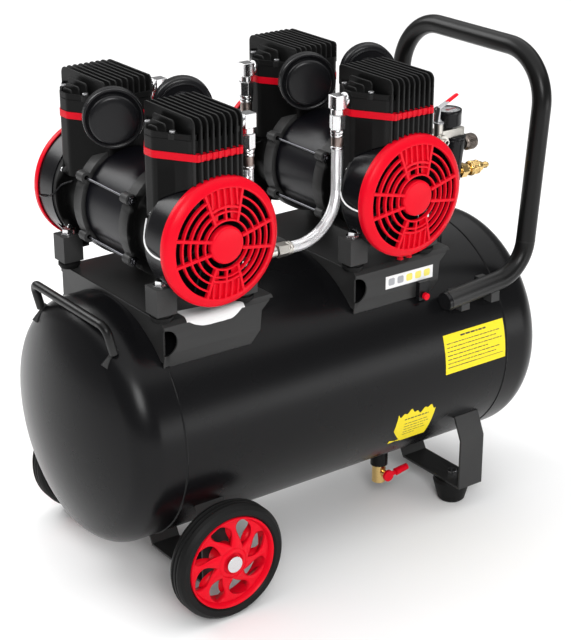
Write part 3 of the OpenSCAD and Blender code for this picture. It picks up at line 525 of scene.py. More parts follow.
def wheel_rim(end, side):
    """Eight-spoked wheel centre with leaning teardrop openings."""
    s = Shape(wheel_end(side))
    inner_r, outer_r = 20.0, 56.0
    first, last = 22.5, 55.4      # the openings' inner and outer ends
    rows, columns = 34, 10

    def crown(r, lean):
        """Outer surface of a spoke; lean runs from 0 to 1 across it."""
        base = 7.0 + 6.5 * math.exp(-((r - 14) / 17.0) ** 2)
        return base + 1.4 * math.sin(math.pi * lean)

    def edge(r, k):
        """Angle of an opening's middle and half its width there, in degrees."""
        t = min(1.0, max(0.0, (r - first) / (last - first)))
        half = 12.6 * math.sin(math.pi * t ** 1.6) ** 0.65 if 0 < t < 1 else 0.0
        return 66 + 0.69 * (r - 50) + 45 * k, math.degrees(half / r)

    for k in range(8):
        grid = []
        for i in range(rows + 1):
            r = inner_r + (outer_r - inner_r) * i / rows
            middle, half = edge(r, k)
            low, high = middle + half, middle + 45 - half
            for j in range(columns + 1):
                angle = low + (high - low) * j / columns
                grid.append((*polar(r, angle), crown(r, j / columns)))
        width = columns + 1
        corners = [i * width + j for i in range(rows) for j in range(columns)]
        s.add(grid, [[a, a + width, a + width + 1, a + 1] for a in corners])
    piece = put(f"wheel_{end}", s, "red_plastic", body=f"{end}_wheel",
                replaces=[f"{end}_wheel_rim"], join=0.02)
    thick = piece.modifiers.new("depth", "SOLIDIFY")
    thick.thickness = 15 * MM
    thick.offset = -1.0
    thick.use_quality_normals = True
    ring = Shape(wheel_end(side))
    ring.lathe([(55.6, -13), (60.8, -13), (60.8, 13.2), (60.2, 14.2), (59.2, 14.4), (58.2, 13.6),
                (57.2, 11.5), (56.4, 9.0), (55.6, 7.2)], 128)
    ring.lathe([(8.2, -13), (18, -13), (20.5, 0), (20.5, 12.0), (18.5, 13.2), (16.5, 14.2),
                (14.6, 14.6), (13.6, 14.0), (12.8, 12.5), (8.2, 12.5)], 72)
    put(f"wheel_{end}_ring", ring, "red_plastic", body=f"{end}_wheel")


for end, side in ENDS.items():
    wheel_rim(end, side)


# ---------- cylinders: heads, valve plates and blocks ----------

# Plan of head, plate and block: eight sides about HEAD_V, half sizes, half straight sides.
HEAD_V, HALF_U, HALF_V, FLAT_U, FLAT_V = 97.0, 60.6, 54.7, 30.3, 8.3
CORNER_R = 9.0
BOLT_U, BOLT_V = 44.0, 26.0
SET_BACK = 6.0      # how far the body stands behind its front fins
BLOCK_Z, PLATE_Z, HEAD_Z = 505.0, 578.0, 586.6      # undersides
RIM_Z, FIN_Z = 608.0, 627.0                         # tops of the head's rim and fins
FIN_PITCH, FIN_W = 8.0, 2.3
SHROUD_R, SHROUD_V = 76.0, 110.0                    # fan drum and where it begins
COVER_R = 78.4
BORE_V, BORE_R = 90.0, 30.6
POCKET_U, POCKET_V = 43.0, 9.0                      # half the room for a piston's big end


def upright(x, side):
    """Local frame of a cylinder: u sideways, v outwards from the motor's middle, d is height."""
    return lambda u, v, d: (x + side * u, -side * v, d)


def on_edge(x, side):
    """Frame for plates that stand along v: a is v, b is height, c is u."""
    return lambda a, b, c: (x + side * c, -side * a, b)


def head_plan(grow=0.0, set_back=0.0):
    """Corners of the eight-sided plan; the front side may stand back."""
    lean = (HALF_U - FLAT_U) / (HALF_V - FLAT_V)
    fx = FLAT_U + 0.6 * grow
    sy = FLAT_V + 0.6 * grow
    hx, hy = HALF_U + grow, HALF_V + grow
    front = hy - set_back
    front_x = fx + set_back * lean
    return [(front_x, HEAD_V + front), (hx, HEAD_V + sy), (hx, HEAD_V - sy), (fx, HEAD_V - hy),
            (-fx, HEAD_V - hy), (-hx, HEAD_V - sy), (-hx, HEAD_V + sy), (-front_x, HEAD_V + front)]


def front_edge(u):
    """How far out the plan reaches at a place across the front."""
    over = max(0.0, abs(u) - FLAT_U)
    return HEAD_V + HALF_V - over * (HALF_V - FLAT_V) / (HALF_U - FLAT_U)


def fin(s, u, top, front, back, foot, low=None, front_r=9.0, back_r=5.0):
    """Upright cooling fin with rounded ends; where low is given its front runs down to it."""
    outline = [(front, low if low else foot)]
    outline += arc_points((front - front_r, top - front_r), front_r, 0, 90, 6)
    outline += arc_points((back + back_r, top - back_r), back_r, 90, 180, 5)
    outline += [(back, foot)]
    if low:
        outline += [(front - SET_BACK - 2, foot), (front - SET_BACK - 2, low)]
    s.prism(outline, u - FIN_W / 2, u + FIN_W / 2)


def cylinder_head(name, x, side):
    """Head with a raised rim, four bolts and upright fins."""
    body = Shape(upright(x, side))
    plan = rounded(head_plan(0, SET_BACK), CORNER_R)
    wall = 2.2
    body.prism(plan, HEAD_Z, RIM_Z - 6)
    body.ring_prism(plan, rounded(head_plan(-wall, SET_BACK - wall), 7.5), RIM_Z - 7, RIM_Z + 0.4)
    bolts = Shape(upright(x, side))
    for u in (-BOLT_U, BOLT_U):
        for v in (HEAD_V - BOLT_V, HEAD_V + BOLT_V):
            body.prism(disc((u, v), 5.5, 24), RIM_Z - 7, RIM_Z - 0.5)
            bolts.prism(hexagon(3.9, 20, (u, v)), RIM_Z - 0.5, RIM_Z + 2.6)
    put(name, body, "black_cast", replaces=["cylinder_heads"], bevel=0.8)
    put(name + "_bolts", bolts, "bright_steel", look="plain_steel", bevel=0.4)
    fins = Shape(on_edge(x, side))
    for i in range(-4, 5):
        u = FIN_PITCH * i
        fin(fins, u, FIN_Z, front_edge(u), 45.0, RIM_Z - 6.5, low=HEAD_Z)
    for u, half, top in ((39.5, 22, 620.5), (46.5, 16, 616), (53.5, 10, 612.5)):
        for m in (-1, 1):
            fin(fins, m * u, top, HEAD_V + half, HEAD_V - half, RIM_Z - 6.5, front_r=5.0)
    put(name + "_fins", fins, "black_cast", bevel=0.45)


def valve_plate(name, x, side):
    """Red plate between block and head, notched between the fins."""
    s = Shape(upright(x, side))
    outline = rounded(head_plan(0.8), CORNER_R)
    front = HEAD_V + HALF_V + 0.8
    for i in range(-3, 5):
        gap = FIN_PITCH * (i - 0.5)
        outline += [(gap - 2.4, front), (gap - 1.7, front - 1.5), (gap + 1.7, front - 1.5),
                    (gap + 2.4, front)]
    s.prism(outline, PLATE_Z, HEAD_Z - 0.1)
    put(name, s, "red_plate", replaces=["valve_plates"], bevel=0.5)


def cylinder_block(name, x, side):
    """Block with its bore and with fins over the fan drum."""
    s = Shape(upright(x, side))

    def foot(u, v):
        """Underside; over the fan drum it follows the drum."""
        if v < SHROUD_V - 0.5:
            return BLOCK_Z
        return max(BLOCK_Z, shaft_z + math.sqrt(max(0.0, (SHROUD_R + 1) ** 2 - u * u)))

    def bore(u, v):
        """Cylinder bore with side pockets for the big end, seen from the bore's middle."""
        along = Vector((u, v - BORE_V)).normalized()
        pocket = min(POCKET_U / max(abs(along.x), TINY), POCKET_V / max(abs(along.y), TINY))
        reach = max(BORE_R, pocket)
        return (along.x * reach, BORE_V + along.y * reach)

    outline = dense(rounded(head_plan(0, SET_BACK), CORNER_R), 2.0)
    s.ring_prism(outline, [bore(u, v) for u, v in outline], foot, PLATE_Z - 0.1)
    front = HEAD_V + HALF_V
    for i in range(-4, 5):
        u = FIN_PITCH * i
        low = shaft_z + math.sqrt((COVER_R + 0.8) ** 2 - u * u)
        edge = front_edge(u)
        s.prism([(u - FIN_W / 2, front - 9), (u + FIN_W / 2, front - 9), (u + FIN_W / 2, edge),
                 (u - FIN_W / 2, edge)], low, PLATE_Z - 0.1)
    put(name, s, "black_cast", replaces=["cylinder_blocks"], bevel=0.4)


# ---------- air filters ----------

FILTER_U, FILTER_V, FILTER_Z = 53.3, -11.5, 597.0   # middle of the cap
FILTER_TURN = math.radians(25)


def air_filter(name, x, side):
    """Round drum with a raised cap, turned outwards; d runs from the cap into the head."""
    across = (math.cos(FILTER_TURN), math.sin(FILTER_TURN))
    inward = (-math.sin(FILTER_TURN), math.cos(FILTER_TURN))
    s = Shape(lambda a, b, d: (x + side * (FILTER_U + a * across[0] + d * inward[0]),
                               -side * (FILTER_V + a * across[1] + d * inward[1]), FILTER_Z + b))
    s.lathe([(0, 0), (20, 0.1), (25.5, 0.5), (27.8, 1.3), (29.0, 2.6), (29.4, 4.2), (29.4, 9.4),
             (31.4, 9.0), (33.0, 7.8), (34.2, 7.4), (35.4, 7.8), (36, 9.0), (36, 11.4),
             (35.2, 12.0), (35.2, 13.0), (36, 13.6), (36, 22.5), (35.2, 24.6), (33.4, 25.8),
             (31.0, 26), (30.4, 27.6), (28.8, 28), (28.0, 26.8), (20.4, 27.2), (19.8, 29),
             (18.2, 29.4), (17.4, 28.2), (13.6, 29.6), (9.4, 32), (7, 35), (7, 64), (0, 64)], 112)
    put(name, s, "black_plastic", replaces=["air_filters"])


for place, x, side in CYLINDERS:
    cylinder_head(f"head_{place}", x, side)
    valve_plate(f"valve_plate_{place}", x, side)
    cylinder_block(f"block_{place}", x, side)
    air_filter(f"filter_{place}", x, side)


# ---------- delivery elbows and braided hoses ----------

HOSE_Y = 97.0
HOSE_R = 6.9
HOSE_TOP = 548.0
PIPE_Z = 425.0
LEFT_HOSE_X, RIGHT_HOSE_X = -123.0, 10.0
LEFT_HOSE_END = 447.0       # height, on the pipe's elbow
RIGHT_HOSE_END = -60.0      # X, on the pipe's nut
BEND_R = 62.0


def elbow(name, x, y, face):
    """Square elbow with its collar, union nut, ferrule and rings; face is the head's side."""
    toward = math.copysign(1, face - x)
    collar_z = 598
    block = Shape(upright_axis(x, y))
    half = 8.4
    block.prism(rounded([(half, half), (-half, half), (-half, -half), (half, -half)], 1.6, 3),
                588.5, 605.5)
    block.prism(disc((0, 0), 8.6, 30), 581.5, 588.6)
    block.prism(hexagon(9.8, 12), 563, 581)
    block.lathe([(6, 553.5), (8.0, 553.5), (8.6, 554.4), (8.6, 557), (8.0, 557.8), (8.8, 558.6),
                 (8.8, 562), (8.2, 563.2), (6, 563.2)], 48)
    block.lathe([(6, 538), (7.9, 538), (8.4, 538.8), (8.4, 541.2), (7.9, 542), (6, 542)], 48)
    put(name, block, "bright_steel", replaces=["head_elbows"], bevel=0.5)
    collar = Shape(lambda u, v, d: (x + toward * d, y + u, collar_z + v))
    reach = abs(face - x) + 3
    collar.lathe([(0, 8), (8.6, 8), (9.2, 8.8), (9.2, 11.5), (8.6, 12.3), (6.6, 12.6), (6.6, 14.5),
                  (8.0, 15), (8.0, reach), (0, reach)], 48)
    put(name + "_collar", collar, "bright_steel")
    ferrule = Shape(upright_axis(x, y))
    ferrule.lathe([(5, 541.5), (7.5, 541.5), (7.7, 543), (7.7, 552), (7.4, 553.8), (5, 553.8)], 48)
    put(name + "_ferrule", ferrule, "bright_steel", look="ferrule_brown")


def hose_route(x, y, bent):
    """Points (position, tangent) about every millimetre from the ferrule down to the pipe."""
    bottom = PIPE_Z + BEND_R if bent else LEFT_HOSE_END
    count = round(HOSE_TOP - bottom)
    drop = (HOSE_TOP - bottom) / count
    route = [((x, y, HOSE_TOP - drop * k), (0, 0, -1)) for k in range(count)]
    if not bent:
        return route + [((x, y, bottom - 4), (0, 0, -1))]
    count = round(BEND_R * math.pi / 2)
    for k in range(count):
        a = math.pi / 2 * k / count
        route.append(((x - BEND_R + BEND_R * math.cos(a), y, bottom - BEND_R * math.sin(a)),
                      (-math.sin(a), 0, -math.cos(a))))
    start = x - BEND_R
    count = round(start - RIGHT_HOSE_END) + 4
    route += [((start - k, y, PIPE_Z), (-1, 0, 0)) for k in range(count)]
    return route


def braided_hose(name, x, y, bent):
    """Rubber core under strands that go over and under each other both ways round."""
    strands, lead, width, swing = 12, 46.0, 2.5, 0.34
    route = hose_route(x, y, bent)
    across = Vector((0, 1, 0))

    def spot(i, angle, radius):
        centre, along = Vector(route[i][0]), Vector(route[i][1])
        out = along.cross(across)
        return centre + (out * math.cos(angle) + across * math.sin(angle)) * radius

    core, sides = Shape(), 24
    core.pipe([spot(i, 2 * math.pi * k / sides, HOSE_R - 0.75) for i in range(len(route))
               for k in range(sides)], sides)
    put(name + "_core", core, "braid", look="plain_steel")
    weave = Shape()
    turn = 2 * math.pi / lead
    half = width / 2 / (HOSE_R * math.cos(math.atan(turn * HOSE_R)))
    section = ((-half, -0.35), (-0.6 * half, 0.12), (0.6 * half, 0.12), (half, -0.35))
    for hand in (1, -1):
        for strand in range(strands):
            points = []
            for i in range(len(route)):
                crossing = 2 * strand + 2 * i * strands / lead
                lift = hand * swing * math.cos(math.pi * crossing)
                angle = 2 * math.pi * strand / strands + hand * turn * i
                points += [spot(i, angle + edge, HOSE_R + lift + rise) for edge, rise in section]
            weave.pipe(points, len(section))
    put(name, weave, "braid", replaces=["delivery_hoses"])


for end, side in ENDS.items():
    y = -side * HOSE_Y
    elbow(f"elbow_left_{end}", LEFT_HOSE_X, y, left_x + HALF_U)
    elbow(f"elbow_right_{end}", RIGHT_HOSE_X, y, right_x - HALF_U)
    braided_hose(f"hose_left_{end}", LEFT_HOSE_X, y, False)
    braided_hose(f"hose_right_{end}", RIGHT_HOSE_X, y, True)


# ---------- collector pipe ----------

def collector():
    """Pipe under both hose pairs with its nuts and rings, and the riser's collar on the tank."""
    cross_x, riser_x, core_r = -88.0, LEFT_HOSE_X, 6.0
    top = box_mm("collector_pipe")[1].z
    s = Shape()
    for side in ENDS.values():
        y = -side * HOSE_Y
        s.place = side_axis(y, PIPE_Z)
        start = riser_x + 7
        s.lathe([(0, start), (8, start), (8, -98), (7.2, -97), (7.2, -84), (0, -84)], 40)
        s.prism(hexagon(9.4, 12), -82, -67)
        s.lathe([(0, -68), (8.2, -68), (8.8, -67), (8.8, -65.6), (7.6, -64.8), (7.6, -63.4),
                 (8.4, -62.8), (8.4, -61), (7.4, -60.2), (0, -60.2)], 40)
        s.place = upright_axis(riser_x, y)
        s.prism(rounded([(8, 8), (-4, 8), (-4, -8), (8, -8)], 1.5, 3), PIPE_Z - 8, PIPE_Z + 8)
        s.prism(hexagon(8.2, 10), PIPE_Z + 8, PIPE_Z + 15)
        s.lathe([(0, 14), (7.2, 14), (7.2, 21.5), (0, 21.5)], 40, PIPE_Z)
    s.place = front_axis(cross_x, PIPE_Z)
    s.lathe([(0, -HOSE_Y), (core_r, -HOSE_Y), (core_r, HOSE_Y), (0, HOSE_Y)], 40)
    s.place = upright_axis(cross_x, 0)
    s.lathe([(0, -57), (8, -57), (8, -45), (0, -45)], 40, top)
    s.lathe([(0, -37), (11.4, -37), (12, -36), (12, -2), (10, 0), (0, 0)], 48, top)
    s.prism(hexagon(12, 5), top - 45, top - 36)
    put("collector", s, "light_alloy", replaces=["collector_pipe"], bevel=0.3)


# ---------- labels ----------

def on_tank(u, v, d):
    """Front of the tank: u along X, v the arc length above the middle, d above the paint."""
    angle = v / tank_r
    return (u, -(tank_r + d) * math.cos(angle), tank_z + (tank_r + d) * math.sin(angle))


def sheet_faces(cols, rows):
    """Faces of a thin closed sheet: two layers of (cols + 1) by (rows + 1) points and an edge."""
    step, layer = rows + 1, (rows + 1) * (cols + 1)
    faces = []
    for a in (i * step + j for i in range(cols) for j in range(rows)):
        quad = [a, a + step, a + step + 1, a + 1]
        faces += [quad[::-1], [layer + k for k in quad]]
    rim = [i * step for i in range(cols)] + [cols * step + j for j in range(rows)]
    rim += [i * step + rows for i in range(cols, 0, -1)] + list(range(rows, 0, -1))
    return faces + [[a, b, layer + b, layer + a] for a, b in zip(rim, rim[1:] + rim[:1])]


def slab(s, u0, u1, low, high, d0, d1, cols=24, rows=10):
    """Thin closed sheet between two edges that may be functions of u."""
    low, high = as_function(low), as_function(high)
    points = []
    for d in (d0, d1):
        for u in (u0 + (u1 - u0) * i / cols for i in range(cols + 1)):
            points += [(u, low(u) + (high(u) - low(u)) * j / rows, d) for j in range(rows + 1)]
    s.add(points, sheet_faces(cols, rows))


def dashes(s, u0, u1, v, height, d, seed, first=2.0, longest=9.0):
    """A row of short strokes of uneven length, in place of writing."""
    u, k = u0, seed
    while u < u1 - 1:
        k = (k * 37 + 11) % 101
        stop = min(u1, u + first + (longest - first) * k / 100)
        slab(s, u, stop, v, v + height, d, d + 0.12, cols=2, rows=1)
        u = stop + 1.3


def tank_labels():
    """Two plain yellow notices; the short one's upper edge is torn and a corner folded up."""
    sheet = Shape(on_tank)
    slab(sheet, 147, 251.5, 0.5, 54, 0.02, 0.3, cols=30, rows=16)
    put("label_long", sheet, "tank_paint", look="label_yellow")
    marks = Shape(on_tank)
    dashes(marks, 176, 222, 47.5, 2.2, 0.3, 5, 3, 8)
    for row in range(7):
        v = 41 - row * 5.4
        dashes(marks, 151, 151 + (92, 88, 95, 70, 90, 84, 48)[row], v, 1.1, 0.3, 7 + row * 13)
    slab(marks, 151, 247, 8.8, 9.4, 0.3, 0.42, cols=8, rows=1)
    put("label_long_marks", marks, "tank_paint", look="ink")

    def top(u):
        return -39.5 - 3.2 * math.sin((u - 72) * 0.21) - 0.05 * (u - 72) + 2.2 * math.sin(u * 0.55)

    def bottom(u):
        return -97 + 30 * max(0.0, 1 - (u - 72) / 24) ** 1.2

    sheet = Shape(on_tank)
    slab(sheet, 73, 137, bottom, top, 0.02, 0.3, cols=48, rows=16)
    put("label_short", sheet, "tank_paint", look="label_yellow")
    flap = Shape(on_tank)
    slab(flap, 73.5, 92, lambda u: -95 + 0.15 * (u - 73), lambda u: -89 - 0.35 * (u - 73),
         0.02, 0.5, cols=8, rows=2)
    put("label_short_fold", flap, "tank_paint", look="label_yellow")
    marks = Shape(on_tank)
    dashes(marks, 86, 126, -52, 2.0, 0.3, 9, 2.5, 6)
    for row in range(5):
        dashes(marks, 88 + row, 90 + (38, 40, 34, 38, 22)[row], -60 - row * 5.6, 1.0, 0.3,
               17 + row * 7)
    put("label_short_marks", marks, "tank_paint", look="ink")


def plate_label():
    """Plain strip with blank tiles on the flange under the right motor."""
    face = -box_mm("motor_plates")[0].y
    flange = lambda u, v, d: (u, -face - d, v)
    s, yellow, grey = Shape(flange), Shape(flange), Shape(flange)
    slab(s, 71, 149, 346.5, 363.5, 0.02, 0.35, cols=4, rows=2)
    put("plate_strip", s, "bracket_paint", look="label_white")
    for k in range(5):
        middle = 80.5 + 14.6 * k
        tile = rounded([(middle + 5, 350.5), (middle + 5, 360), (middle - 5, 360),
                        (middle - 5, 350.5)], 2.2, 4)
        (grey if k < 2 else yellow).prism(tile, 0.3, 0.5)
    put("plate_tiles_yellow", yellow, "bracket_paint", look="mark_yellow")
    put("plate_tiles_grey", grey, "bracket_paint", look="mark_grey")


def paper():
    """White sheet left on the left plate, folded over the edge of its flange."""
    low, high = box_mm("motor_plates")
    face, top = -low.y, high.z
    u0, u1, drop, cols = -229.0, -147.0, 14.5, 40

    def hang(u):
        """Lower edge: it falls steeply from the left and rises again near the right."""
        t = (u - u0) / (u1 - u0)
        if t < 0.4:
            return top - drop * math.sin(math.pi * min(1, t * 1.25)) ** 0.6
        return top - drop + 15.0 * max(0.0, (t - 0.72) / 0.28) ** 2

    points = []
    for i in range(cols + 1):
        u = u0 + (u1 - u0) * i / cols
        ripple = 0.8 * math.sin(u * 0.31) + 0.5 * math.sin(u * 0.13)
        low = min(hang(u), top - 4.0)
        back = -97.5 - 0.12 * (u - u0)
        lane = [(back, top + 0.5), ((back - face) / 2, top + 1.0 + 0.4 * ripple),
                (-face + 5.0, top + 0.9), (-face + 1.8, top - 0.7),
                (-face - 0.5, top - 3.4), (-face - 0.9 - 0.3 * abs(ripple), (top + low) / 2 - 1.8),
                (-face - 0.7 - 0.5 * abs(ripple), min(low, top - 4.6))]
        points.append([(u, y, z) for y, z in lane])
    sheet = []
    for lift in (0.0, 0.35):
        for column in points:
            sheet += [(x, y - lift * (1 if k > 3 else 0.3), z + lift * (1 if k < 4 else 0))
                      for k, (x, y, z) in enumerate(column)]
    s = Shape()
    s.add(sheet, sheet_faces(cols, len(points[0]) - 1))
    put("paper", s, "bracket_paint", look="label_white")


collector()
tank_labels()
plate_label()
paper()


# ---------- motors: tie rods, screws and wires ----------

ROD_R, SCREW_R = 73.0, 70.5     # rings of the long bolts and of the drums' screws


def tie_rods():
    """Four long bolts between each motor's end castings, with nuts."""
    s = Shape()
    for x in MOTORS.values():
        for angle in (31, 149, 211, 329):
            s.place = front_axis(*polar(ROD_R, angle, (x, shaft_z)))
            s.lathe([(0, -60), (1.7, -60), (1.7, 60), (0, 60)], 20)
            for sign in (-1, 1):
                s.prism(hexagon(5.4, 10), *sorted((sign * 58.2, sign * 62.6)))
                s.lathe([(0, sign * 63.6), (2.2, sign * 63.6), (2.6, sign * 62), (0, sign * 62)],
                        20)
    put("tie_rods", s, "bright_steel", replaces=["tie_bolts"], look="dark_steel", bevel=0.3)


def wires():
    """Lead from the windings to each fan drum, and two booted leads under the right cover."""
    for name, x, side in CYLINDERS:
        lead = Shape()
        lead.wire([(x - 59, -side * 86, shaft_z + 22), (x - 68, -side * 97, shaft_z + 16),
                   (x - 75, -side * 106, shaft_z + 4), (x - 78, -side * 118, shaft_z - 3),
                   (x - 78.5, -side * 132, shaft_z - 6), (x - 75, -side * 145, shaft_z - 8)], 1.1)
        put(f"lead_{name}", lead, "bright_steel",
            look="label_white" if side > 0 else "black_plastic")
    leads = Shape()
    for u in (10.5, 24.5):
        leads.wire([(right_x + u, -113, 404), (right_x + u + 0.5, -117, 394),
                    (right_x + u + 1, -119, 388)], 1.5)
        boot = Shape(upright_axis(right_x + u + 1, -119.2))
        boot.lathe([(0, 390), (2.4, 390), (3.2, 388), (3.4, 385), (4.2, 383.5), (4.4, 381.8),
                    (3.6, 381.3), (0, 381.3)], 24)
        put(f"boot_{round(u)}", boot, "red_plastic", bevel=0.2)
    put("booted_leads", leads, "red_plastic")


def drum_screws():
    """Screws that hold the fan drums."""
    s = Shape()
    for _, x, side in CYLINDERS:
        for angle in (28, 152, 216, 308):
            s.place = front_axis(*polar(SCREW_R, angle, (x, shaft_z)))
            a, b = -side * 103.5, -side * 101.8
            s.lathe([(0, b), (3.0, b), (3.6, a), (0, a)], 20)
    put("flange_screws", s, "bright_steel", bevel=0.2)


tie_rods()
wires()
drum_screws()


# ---------- controls ----------

def gauge_parts():
    """Round case, face with its marks, and lens; the needle is the CAD's."""
    middle = centre_mm("gauge")
    low, high = (p.z for p in box_mm("gauge"))
    s = Shape(upright_axis(middle.x, middle.y))
    s.prism(hexagon(7.2, 15), low, low + 5)
    back = low - high
    s.lathe([(0, back + 4.4), (5, back + 4.4), (15.5, back + 4.6), (17.6, back + 5.4),
             (18.2, back + 7), (18.2, -6), (18.5, -5.4), (18.5, -0.7), (18.0, 0), (16.6, 0),
             (16.4, -0.6), (16.4, -2.6), (1.55, -2.6), (1.55, -8), (0, -8)], 96, high)
    put("gauge_case", s, "black_plastic", replaces=["gauge"])
    face = Shape(upright_axis(middle.x, middle.y))
    face.lathe([(1.7, -2.55), (16.3, -2.55), (16.3, -2.3), (1.7, -2.3)], 72, high)
    put("gauge_face", face, "black_plastic", look="label_white")
    marks = Shape(upright_axis(middle.x, middle.y))
    for k in range(41):
        angle = -45 + 270 * k / 40
        inner, width = (11.5, 0.55) if k % 5 == 0 else (13.0, 0.3)
        marks.bar(polar(inner, angle), polar(14.6, angle), width, high - 2.35, high - 2.2)
    marks.arc(14.8, 0.35, -45, 225, high - 2.35, high - 2.2, 60)
    put("gauge_marks", marks, "black_plastic", look="ink")
    lens = Shape(upright_axis(middle.x, middle.y))
    lens.lathe([(0, -0.85), (16.5, -0.85), (16.5, -0.35), (0, -0.35)], 72, high)
    put("gauge_lens", lens, "black_plastic", look="glass")


def regulator_parts():
    """Upright regulator body with a ribbed collar and the seat of its knob."""
    low, high = box_mm("regulator_body")
    x, y, top = low.x + 16, (low.y + high.y) / 2, high.z
    foot = low.z - top
    s = Shape(upright_axis(x, y))
    s.lathe([(0, 0), (15.6, 0), (16, -0.6), (16, -3), (15, -3.6), (15, -5), (15.4, -5.6),
             (15.0, -12), (13.6, -22), (12.6, -30), (11.6, -40), (11, -46), (11.4, -47),
             (11.4, -50), (11, -51), (11, foot + 1), (10, foot), (0, foot)], 72, top)
    s.spokes(10, 13.4, 15.6, 2.0, top - 14, top - 5, 18)
    s.place = side_axis(y, centre_mm("regulator_knob").z)
    s.lathe([(3.1, -9), (7, -9), (7, -1.2), (6.6, -0.8), (3.1, -0.8)], 48, high.x)
    put("regulator_case", s, "black_plastic", replaces=["regulator_body"], bevel=0.3)


def regulator_turn():
    """Fluted knob that turns about X."""
    low, high = box_mm("regulator_knob")
    s = Shape(side_axis((low.y + high.y) / 2, (low.z + high.z) / 2))
    r = (high.z - low.z) / 2
    s.lathe([(0, low.x - high.x), (3, low.x - high.x), (3, -20.7), (8.6, -20.7), (9.6, -18),
             (r - 0.9, -17.4), (r - 0.9, -4), (r - 1.2, -2.2), (8.4, -1), (7.2, 0), (5.6, 0),
             (5.2, -1.2), (0, -1.2)], 64, high.x)
    s.spokes(30, r - 1.4, r - 0.1, 1.2, high.x - 17, high.x - 4.6)
    put("regulator_grip", s, "light_alloy", body="knob",
        replaces=["regulator_knob"], look="knob_grey", bevel=0.25)


def lever_parts():
    """Outlet lever: flat cranked steel with a red grip on its end."""
    low = box_mm("outlet_lever")[0]
    x, y = low.x + 7, low.y + 7
    s = Shape(upright_axis(x, y))
    s.lathe([(0, 0), (2, 0), (2, 7.4), (7, 7.4), (7, 9.6), (0, 9.6)], 32, low.z)
    s.prism(hexagon(4), low.z + 9.4, low.z + 12.6)
    s.place = lambda a, b, c: (x + a, y + c, low.z + b)
    s.prism([(-4, 8), (4, 8), (4, 10), (-0.5, 11), (0.5, 27), (14.2, 33.5), (13.4, 35.4),
             (-1, 29), (-4, 13)], -3.5, 3.5)
    put("outlet_lever_steel", s, "bright_steel", body="valve_lever",
        replaces=["outlet_lever"], look="plain_steel", bevel=0.4)
    grip = Shape()
    slope = math.atan2(14.2, 31.0)
    across = Vector((-math.sin(slope), 0, math.cos(slope)))
    along = Vector((math.cos(slope), 0, math.sin(slope)))
    start = Vector((x + 12.5, y, low.z + 33.6))
    flat = 0.48
    grip.place = lambda a, b, d: start + Vector((0, a, 0)) + across * b * flat + along * d
    grip.lathe([(0, -1), (2.6, -0.8), (3.3, 0.4), (3.45, 3), (3.45, 15), (3.3, 18),
                (2.5, 19.6), (0, 20.2)], 40)
    put("outlet_lever_grip", grip, "red_plastic", body="valve_lever")


def coupler_parts():
    """Quick coupler: knurled sleeve that slides and the stem it slides on."""
    low, high = box_mm("coupler_sleeve")
    y, z = (low.y + high.y) / 2, (low.z + high.z) / 2
    bore, end = 7.15, high.x - low.x
    s = Shape(side_axis(y, z))
    s.lathe([(bore, 0), (9.0, 0), (9.6, 0.8), (9.6, 2.6), (10.3, 3.2), (10.3, 5.6), (9.2, 6.4),
             (8.9, end - 3.4), (9.6, end - 2.6), (9.6, end - 0.7), (9.1, end), (bore, end)], 64,
            low.x)
    s.spokes(28, 8.7, 9.5, 1.1, low.x + 6.6, high.x - 3.6)
    put("coupler_collar", s, "brass", body="sleeve", replaces=["coupler_sleeve"], bevel=0.2)
    low, high = box_mm("coupler_body")
    tip = high.x - low.x
    s = Shape(side_axis(y, z))
    s.lathe([(2.6, 0), (6, 0), (6, 6), (2.6, 6)], 40, low.x)
    s.prism(hexagon(10), low.x + 6, low.x + 16)
    s.lathe([(2.6, 15), (7, 15), (7, 42), (6.4, 44), (4.4, 44.6), (4.4, 47), (3.6, 48), (4.6, 50),
             (3.6, 51), (4.6, 53), (3.6, 54), (3.4, tip), (2.6, tip)], 48, low.x)
    put("coupler_stem", s, "brass", replaces=["coupler_body"], bevel=0.2)


def switch_screws():
    """Four screws in the lid of the pressure switch."""
    low, high = box_mm("pressure_switch")
    s = Shape(upright_axis((low.x + high.x) / 2, 1))
    for dx in (-17, 17):
        for dy in (-23, 23):
            s.prism(disc((dx, dy), 2.6, 18), high.z - 0.4, high.z + 0.9)
    put("switch_screws", s, "bright_steel", bevel=0.2)


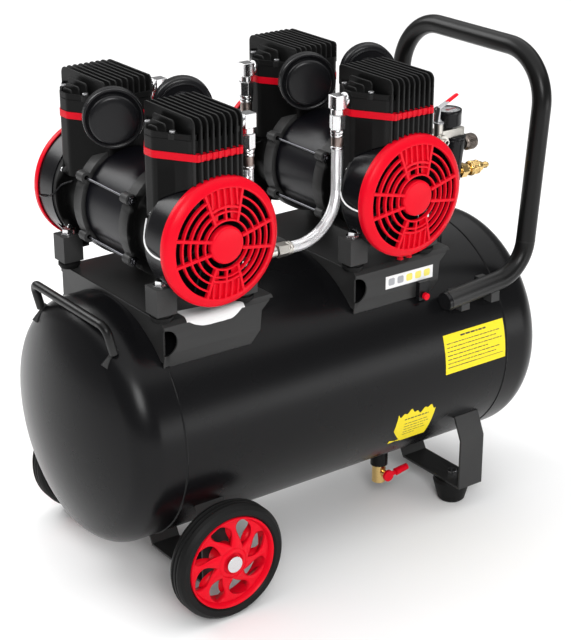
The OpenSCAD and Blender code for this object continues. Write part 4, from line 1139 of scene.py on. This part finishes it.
gauge_parts()
regulator_parts()
regulator_turn()
lever_parts()
coupler_parts()
switch_screws()


# ---------- studio ----------

def area_light(name, place, target, size, power, size_y=None):
    """Soft rectangular light; sizes in metres, power in watts."""
    lamp = bpy.data.lights.new(name, "AREA")
    lamp.shape = "RECTANGLE"
    lamp.size = size
    lamp.size_y = size_y or size
    lamp.energy = power
    thing = linked(name, lamp)
    thing.location = place
    thing.rotation_euler = (Vector(target) - Vector(place)).to_track_quat("-Z", "Y").to_euler()


def studio():
    """Bright even room over a white floor, with a key light from the front left."""
    world = bpy.data.worlds.new("studio")
    world.use_nodes = True
    sky = world.node_tree.nodes["Background"]
    sky.inputs["Color"].default_value = (1, 1, 1, 1)
    sky.inputs["Strength"].default_value = 0.25
    bpy.context.scene.world = world
    area_light("overhead", (0.4, 0.6, 5.0), (0.4, 0.6, 0), 11.0, 520)
    area_light("key", (-2.0, -3.4, 2.6), (0, 0, 0.35), 1.5, 95)
    area_light("band", (1.45, -2.4, 0.25), (0.1, -0.1, 0.25), 1.7, 13, 0.7)
    area_light("back", (-1.1, 2.4, 2.3), (0, 0, 0.4), 1.6, 44)
    mesh = bpy.data.meshes.new("floor")
    half = 12.0
    mesh.from_pydata([(-half, -half, 0), (half, -half, 0), (half, half, 0), (-half, half, 0)],
                     [], [(0, 1, 2, 3)])
    floor = linked("floor", mesh)
    material("floor_white", (0.93, 0.93, 0.93), 0.75, bump=0.0, vary=0.01, round_edge=0.0)
    mesh.materials.append(finishes["floor_white"])


EYE = (-1.21122, -1.67199, 1.14786)
AHEAD = (0.5421, 0.7458, -0.3872)
LENS = 95.65


def camera():
    """The photograph's viewpoint."""
    data = bpy.data.cameras.new("camera")
    data.lens = LENS
    data.sensor_width = 36.0
    data.sensor_fit = "AUTO"
    data.clip_end = 60.0
    thing = linked("camera", data)
    thing.location = EYE
    thing.rotation_euler = Vector(AHEAD).to_track_quat("-Z", "Y").to_euler()
    bpy.context.scene.camera = thing


studio()
camera()
bpy.context.scene.view_settings.view_transform = "Standard"
